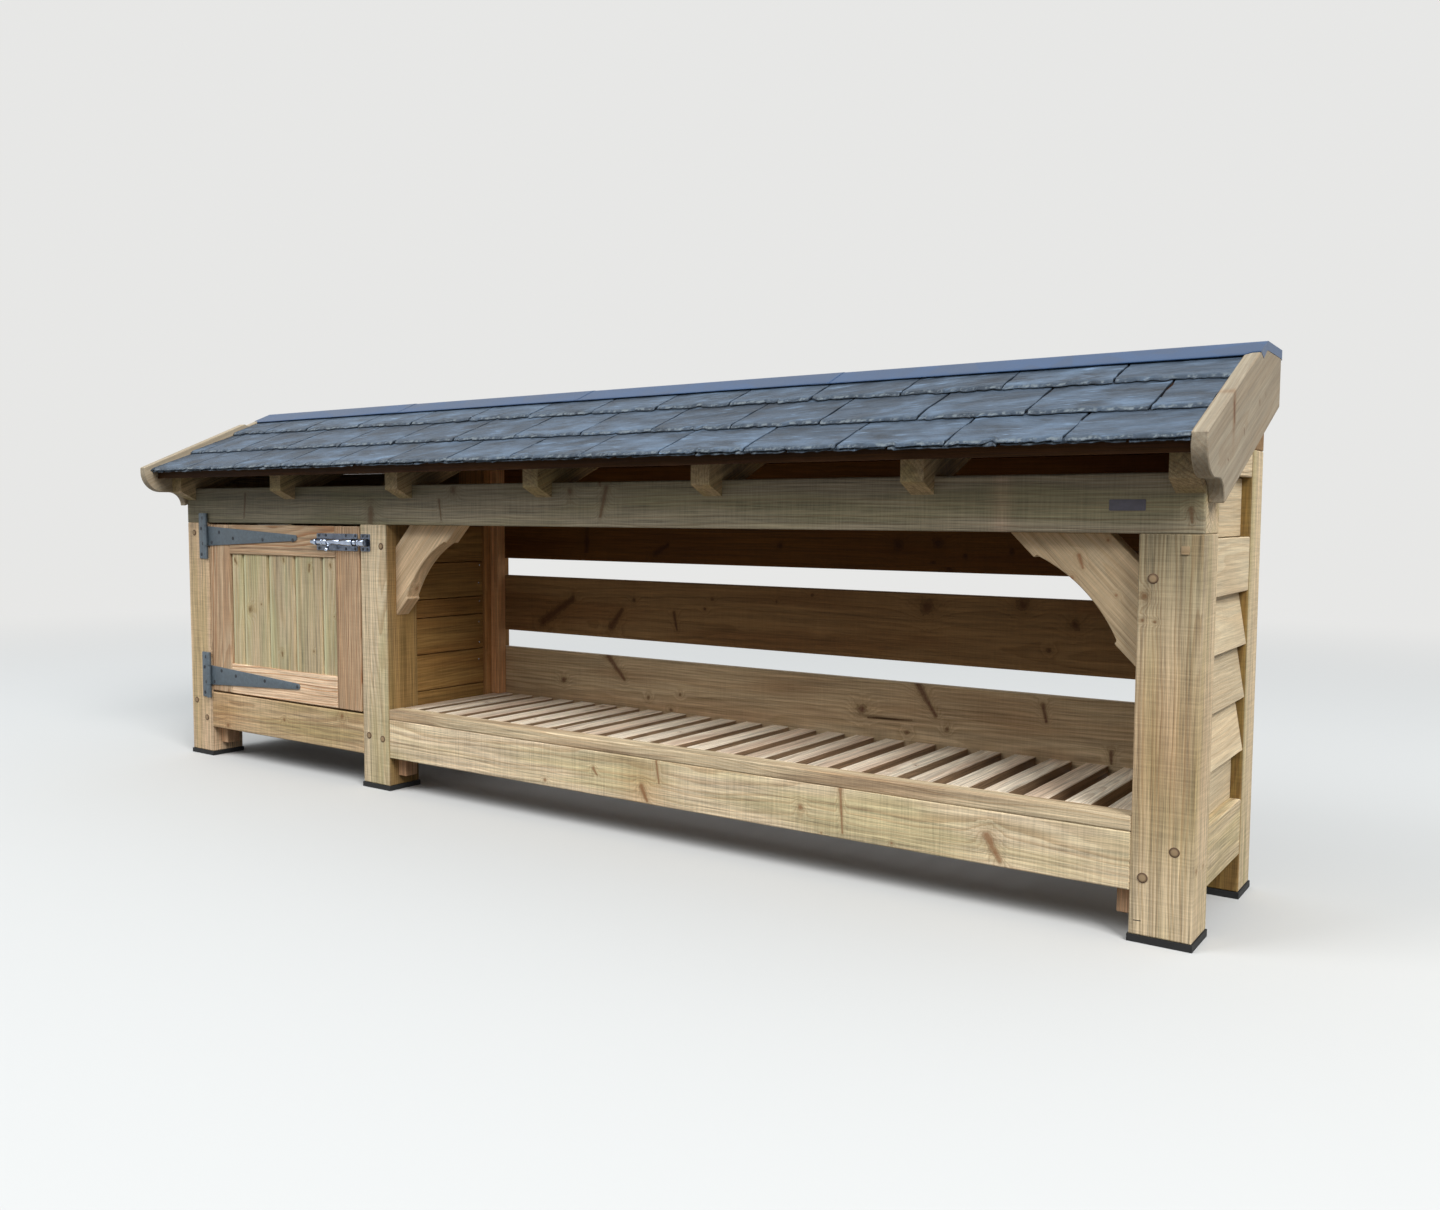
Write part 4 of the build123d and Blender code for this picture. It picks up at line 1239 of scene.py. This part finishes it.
def add_bridge(shape, x, width, bore, wall, sweep=ARC_STEPS):
    """Adds a bridge of bent sheet over the bolt. A shorter sweep leaves its lower side open."""
    axis_y, axis_z = BOLT_AXIS
    angles = [math.pi * k / ARC_STEPS for k in range(sweep + 1)]
    path = []
    for radius, order in ((bore + wall, 1), (bore, -1)):
        run = [(-1.7, axis_z + radius)]
        run += [(axis_y - radius * math.sin(a), axis_z + radius * math.cos(a)) for a in angles]
        if sweep == ARC_STEPS:
            run.append((-1.7, axis_z - radius))
        path += run[::order]
    loops = []
    for offset, grow in ((0.0, -0.35), (0.6, 0.0), (width - 0.6, 0.0), (width, -0.35)):
        loop = []
        for y, z in path:
            bent = y < axis_y
            away = Vector((y - axis_y if bent else 0.0, z - axis_z))
            away *= 1 + (grow if away.length > bore + wall / 2 else -grow) / away.length
            loop.append(shape.verts.new(spot(x + offset, axis_y + away.x if bent else y, axis_z + away.y)))
        loops.append(loop)
    for first, second in zip(loops, loops[1:]):
        join_loops(shape, first, second)
    count = len(path)
    for loop in (loops[0], loops[-1]):
        for i in range(count // 2 - 1):
            shape.faces.new([loop[i], loop[i + 1], loop[count - 2 - i], loop[count - 1 - i]])


class LOGSTORE_OT_fit_bolt(bpy.types.Operator):
    """Makes the tower bolt: its plate and housing, the sliding bar with its knob, and the keep"""

    bl_idname = "logstore.fit_bolt"
    bl_label = "Fit the bolt"

    def execute(self, context):
        finish, screws = mottled_finish("zinc"), mottled_finish("dark", DARK_METAL)
        # The plates take a darker copy of the zinc: painted shade, standing for the dark reflections the flat
        # plates show.
        shaded_plates = mottled_finish("zinc_plate", tuple(c * 0.33 for c in context.scene.log_store_colours.zinc))
        axis_y, axis_z = BOLT_AXIS
        both = (("bolt_plate", "door", BOLT_PLATE), ("keep_plate", "store", BOLT_KEEP))
        for name, body, (low, high) in both:
            shape, layers = new_shape()
            add_sheet(shape, rounded(low, axis_z - 22, high, axis_z + 22, 3.0), 0.0, -1.8, 0.5)
            places = (low + 9, low + 38, high - 45, high - 8) if body == "door" else (low + 9, high - 9)
            for x in places:
                for z in (axis_z - 17, axis_z + 17):
                    add_screw(shape, layers, x, -2.2, z, 3.2, x + z)
            new_piece(name, shape, shaded_plates, body, angle=40.0, second=screws)
        low, high = BOLT_PLATE
        shape, layers = new_shape()
        first, second = BOLT_SLOT
        bore = BOLT_BAR + 0.5
        add_bridge(shape, low + 4.0, 10.0, bore, 2.0)
        add_bridge(shape, BRIDGE_FOOT, first - BRIDGE_FOOT, bore, 2.0)
        add_bridge(shape, first, second - first, bore, 2.0, ARC_STEPS // 2)
        add_bridge(shape, second, high - 4.0 - second, bore, 2.0)
        for lip in (BRIDGE_FOOT, high - 9.0):
            add_bridge(shape, lip, 5.0, BOLT_BAR + 0.6, 2.7)
        new_piece("bolt_housing", shape, finish, "door", ["bolt_guide"], 40.0)

        low, high = BOLT_KEEP
        shape, layers = new_shape()
        add_bridge(shape, low + 5.0, 26.0, BOLT_BAR + 1.5, 1.6)
        for lip in (low + 5.0, high - 9.0):
            add_bridge(shape, lip, 4.0, BOLT_BAR + 1.6, 2.2)
        new_piece("bolt_staple", shape, finish, "store", ["bolt_keep"], 40.0)

        shape, layers = new_shape()
        end = [(0, 0)] + [(BOLT_BAR - less, along) for less, along in BAR_END]
        profile = end + [(radius, BOLT_LENGTH - along) for radius, along in end[::-1]]
        add_turned(shape, layers, (BOLT_START, axis_y, axis_z), (1, 0, 0), profile, 32)
        add_turned(shape, layers, (BOLT_KNOB, axis_y, axis_z), (0, -0.55, -1), KNOB_PROFILE)
        new_piece("bolt_shaft", shape, finish, "bolt", ["bolt_bar"], angle=40.0)
        return {"FINISHED"}


DOOR_BOARDS = (200.5, 254.5, 370.3, 486.0, 601.7, 665.5)
# A door board's section from its sides inwards, at depths from the rails' face; the bevel is painted paler, a
# painted highlight where it catches the light
BOARD_LEFT = ((1.5, 24.0, 0), (1.5, 10.5, 0), (2.2, 8.6, 1), (13.0, 4.6, 1), (16.0, 4.0, 0))
BOARD_RIGHT = ((4.5, 4.0), (1.8, 7.4), (1.5, 10.5), (1.5, 24.0))


def add_grooved_board(shape, layers, left, right, seed):
    """Adds an upright door board with a wide bevel along its left and a narrow one along its right."""
    place_layer, seed_layer, edge_layer = layers
    front, rear, low, high = DOOR_PANEL
    section = [(left + x, y, edge) for x, y, edge in BOARD_LEFT] + [(right - x, y, 0) for x, y in BOARD_RIGHT]
    middle = spot((left + right) / 2, (front + rear) / 2, (low + high) / 2)
    turn = Euler(GRAIN_TURNS["z"]).to_matrix()
    loops = []
    for z in (low, high):
        loop = []
        for x, y, edge in section:
            vertex = shape.verts.new(spot(x, y, z))
            vertex[place_layer] = turn @ (vertex.co - middle)
            vertex[seed_layer] = seed
            vertex[edge_layer] = edge
            loop.append(vertex)
        loops.append(loop)
    join_loops(shape, *loops)
    shape.faces.new(loops[0][::-1])
    shape.faces.new(loops[1])


class LOGSTORE_OT_board_door(bpy.types.Operator):
    """Makes the door's grooved boards, each with a wide bevel beside its groove"""

    bl_idname = "logstore.board_door"
    bl_label = "Board the door"

    def execute(self, context):
        chance = random.Random(29)
        shape, layers = new_shape()
        for order, (left, right) in enumerate(zip(DOOR_BOARDS, DOOR_BOARDS[1:])):
            add_grooved_board(shape, layers, left, right, 5.0 + order * SEED_STEP + chance.random())
        finish = timber_finish("panel")
        mark(new_piece("door_boards", shape, finish, "door", ["door_panel"]), "door_panel")
        return {"FINISHED"}


PEGS = (
    (2770, 147), (2721, 97), (2724, 588), (846, 606), (790, 122), (842, 118), (32, 631), (24, 144), (73, 97),
)
PARTITION_NAILS = ((326, 549), (325, 451), (323, 339), (322, 500), (320, 292), (322, 395))
BARE_PLATE = (2651, 697.0, 2709.3, 715.2, 1.2)
RIVET = [(1.5, -0.4), (1.5, 0.3), (0.9, 0.7), (0, 0.8)]
STAPLE = [(0.3, 0), (0.7, 0.4), (0.7, 12), (0.3, 12.4)]


class LOGSTORE_OT_drive_fixings(bpy.types.Operator):
    """Makes the pegs, nails, staple and the bare metal plate on the beam"""

    bl_idname = "logstore.drive_fixings"
    bl_label = "Drive the fixings"

    def execute(self, context):
        sizes = context.scene.log_store_sizes
        r = sizes.peg_radius / MM
        chance = random.Random(43)
        shape, layers = new_shape()
        for order, (x, z) in enumerate(PEGS):
            proud = chance.uniform(0.6, 1.8)
            profile = [
                (r, -3), (r, proud * 0.6), (r - 0.5, proud), (r - 1.2, proud + 0.25), (r * 0.5, proud + 0.5),
                (0, proud + 0.55),
            ]
            axis = (chance.uniform(-0.05, 0.05), -1, chance.uniform(-0.05, 0.05))
            # Painted shade on each peg's rim, from 1.3 mm inside its edge
            add_turned(shape, layers, (x, 0, z), axis, profile, 28, order, r - 1.3)
        add_sheet(shape, rounded(2766.5, 629.5, 2779.5, 640.5, 1.0), 1.0, -1.0, 0.5)
        add_sheet(shape, rounded(2767.0, 627.6, 2778.5, 629.7, 0.5), 1.0, -2.0, 0.4)
        finish = material("peg_end_grain", peg_sockets)
        new_piece("pegs", shape, finish, "store", angle=50.0)

        r = sizes.nail_radius / MM
        head = [(r * 0.7, -2), (r, 0.1), (r, 0.5), (r * 0.7, 0.8), (0, 0.9)]
        shape, layers = new_shape()
        for y, z in PARTITION_NAILS:
            add_turned(shape, layers, (858, y, z), (1, 0, 0), head, 12)
        new_piece("partition_nails", shape, mottled_finish("zinc"), "store", angle=50.0)

        shape, layers = new_shape()
        add_sheet(shape, rounded(*BARE_PLATE), 0.2, -0.9, 0.3)
        for x in (2654.5, 2705):
            add_turned(shape, layers, (x, -0.9, 706), (0, -1, 0), RIVET, 12)
        finish = mottled_finish("plate", PLATE_METAL)
        new_piece("bare_plate", shape, finish, "store", angle=40.0)

        shape, layers = new_shape()
        add_turned(shape, layers, (2708, 0.1, 24.0), (1, 0, 0.05), STAPLE, 8)
        new_piece("staple", shape, mottled_finish("rubber"), "store", angle=40.0)
        return {"FINISHED"}


FLOOR_BOUNCE = (0.13, 0.12, 0.11)
FLOOR_SEEN = (0.60, 0.60, 0.595)
SKY_LOW, SKY_HIGH = (0.11, 0.11, 0.11), (0.90, 0.96, 1.0)
CAMERA_PLACE = (3263.7, -2008.2, 689.6)
CAMERA_TURN = (-35.425, -4.058, 0.181)


def seen_directly(tree):
    """1 for what the camera, a mirror or glass shows, 0 for what only lights other things."""
    rays = add_node(tree, "ShaderNodeLightPath")
    seen = Term(rays, "Is Camera Ray").math("MAXIMUM", Term(rays, "Is Glossy Ray"))
    return seen.math("MAXIMUM", Term(rays, "Is Transmission Ray"))


def floor_sockets(tree):
    """A plain floor that lights the store less than it shows."""
    return {"Base Color": blend(seen_directly(tree), FLOOR_BOUNCE, FLOOR_SEEN), "Roughness": 0.9}


def fade_to_plain(tree, share, shader, kind, output):
    """Mixes the background's plain colour into a shader by a share."""
    colour = bpy.context.scene.log_store_colours.background
    plain = add_node(tree, kind, {"Color": colour, "Strength": 1.0})
    both = add_node(tree, "ShaderNodeMixShader", {0: share, 1: Term(shader), 2: Term(plain)})
    plug(tree.nodes[output].inputs["Surface"], Term(both))


class LOGSTORE_OT_set_stage(bpy.types.Operator):
    """Sets the floor, the surround, the lamps and the camera"""

    bl_idname = "logstore.set_stage"
    bl_label = "Set the stage"

    def execute(self, context):
        shape = bmesh.new()
        bmesh.ops.create_grid(shape, x_segments=12, y_segments=12, size=30.0)
        mesh = bpy.data.meshes.new("studio_floor")
        shape.to_mesh(mesh)
        shape.free()
        floor = add_object("studio_floor", mesh)
        made = material("studio_floor", floor_sockets)
        tree = made.node_tree
        away = Term(add_node(tree, "ShaderNodeTexCoord"), "Object").math("LENGTH")
        share = ramp(away, 2.4, 7.0) * seen_directly(tree)
        shader = tree.nodes["Principled BSDF"]
        fade_to_plain(tree, share, shader, "ShaderNodeEmission", "Material Output")
        mesh.materials.append(made)

        world = bpy.data.worlds.new("studio_surround")
        context.scene.world = world
        world.use_nodes = True
        tree = world.node_tree
        upward = parts_of(Term(add_node(tree, "ShaderNodeTexCoord"), "Generated"))[2]
        sky = tree.nodes["Background"]
        plug(sky.inputs["Color"], blend(ramp(upward, -0.1, 0.95), SKY_LOW, SKY_HIGH))
        sky.inputs["Strength"].default_value = 0.9
        fade_to_plain(tree, seen_directly(tree), sky, "ShaderNodeBackground", "World Output")

        lamps = (
            ("key_lamp", (8.5, -4.4, 8.2), (0.1, 0.0, 0.4), 5.0, 1250.0, (1.0, 0.99, 0.97)),
            ("fill_lamp", (-4.5, -5.5, 7.0), (0.0, 0.0, 0.4), 5.0, 400.0, (0.97, 0.99, 1.0)),
        )
        for name, place, aim, size, power, colour in lamps:
            lamp = bpy.data.lights.new(name, "AREA")
            lamp.shape = "SQUARE"
            lamp.size = size
            lamp.energy = power
            lamp.color = colour
            holder = add_object(name, lamp)
            holder.location = place
            holder.rotation_euler = (Vector(aim) - Vector(place)).to_track_quat("-Z", "Y").to_euler()

        view = bpy.data.cameras.new("photo_view")
        view.sensor_width = 36.0
        view.lens = 30.33
        view.shift_x = 0.01194
        view.shift_y = -0.00354
        view.clip_end = 200.0
        camera = add_object("photo_view", view)
        yaw, pitch, roll = (math.radians(a) for a in CAMERA_TURN)
        ahead = Vector((math.sin(yaw) * math.cos(pitch), math.cos(yaw) * math.cos(pitch), math.sin(pitch)))
        level = Vector((math.cos(yaw), -math.sin(yaw), 0.0))
        above = level.cross(ahead)
        side = level * math.cos(roll) + above * math.sin(roll)
        above = above * math.cos(roll) - level * math.sin(roll)
        turn = Matrix((side, above, -ahead)).transposed()
        camera.matrix_world = Matrix.Translation(spot(*CAMERA_PLACE)) @ turn.to_4x4()
        context.scene.camera = camera
        context.scene.view_settings.view_transform = "Standard"
        return {"FINISHED"}


class LOGSTORE_PT_pieces(bpy.types.Panel):
    """Lists the steps that build the store, and its sizes and colours"""

    bl_label = "Log store"
    bl_space_type = "VIEW_3D"
    bl_region_type = "UI"
    bl_category = "Log store"

    def draw(self, context):
        for operator in OPERATORS:
            self.layout.operator(operator.bl_idname)
        for group in (context.scene.log_store_sizes, context.scene.log_store_colours):
            for name in group.bl_rna.properties.keys():
                if name not in ("rna_type", "name"):
                    self.layout.prop(group, name)


OPERATORS = (
    LOGSTORE_OT_set_stage,
    LOGSTORE_OT_finish_frame,
    LOGSTORE_OT_lay_boards,
    LOGSTORE_OT_lay_slates,
    LOGSTORE_OT_fold_flashing,
    LOGSTORE_OT_hang_hinges,
    LOGSTORE_OT_fit_bolt,
    LOGSTORE_OT_board_door,
    LOGSTORE_OT_drive_fixings,
)
CLASSES = (LogStoreColours, LogStoreSizes, *OPERATORS, LOGSTORE_PT_pieces)


def register():
    """Registers the classes and puts the sizes and colours on the scene."""
    for each in CLASSES:
        bpy.utils.register_class(each)
    bpy.types.Scene.log_store_colours = bpy.props.PointerProperty(type=LogStoreColours)
    bpy.types.Scene.log_store_sizes = bpy.props.PointerProperty(type=LogStoreSizes)


def unregister():
    """Takes the sizes, the colours and the classes away again."""
    del bpy.types.Scene.log_store_sizes
    del bpy.types.Scene.log_store_colours
    for each in reversed(CLASSES):
        bpy.utils.unregister_class(each)


def main():
    """Builds everything in order."""
    register()
    for operator in OPERATORS:
        category, name = operator.bl_idname.split(".")
        getattr(getattr(bpy.ops, category), name)()


if __name__ == "__main__":
    main()
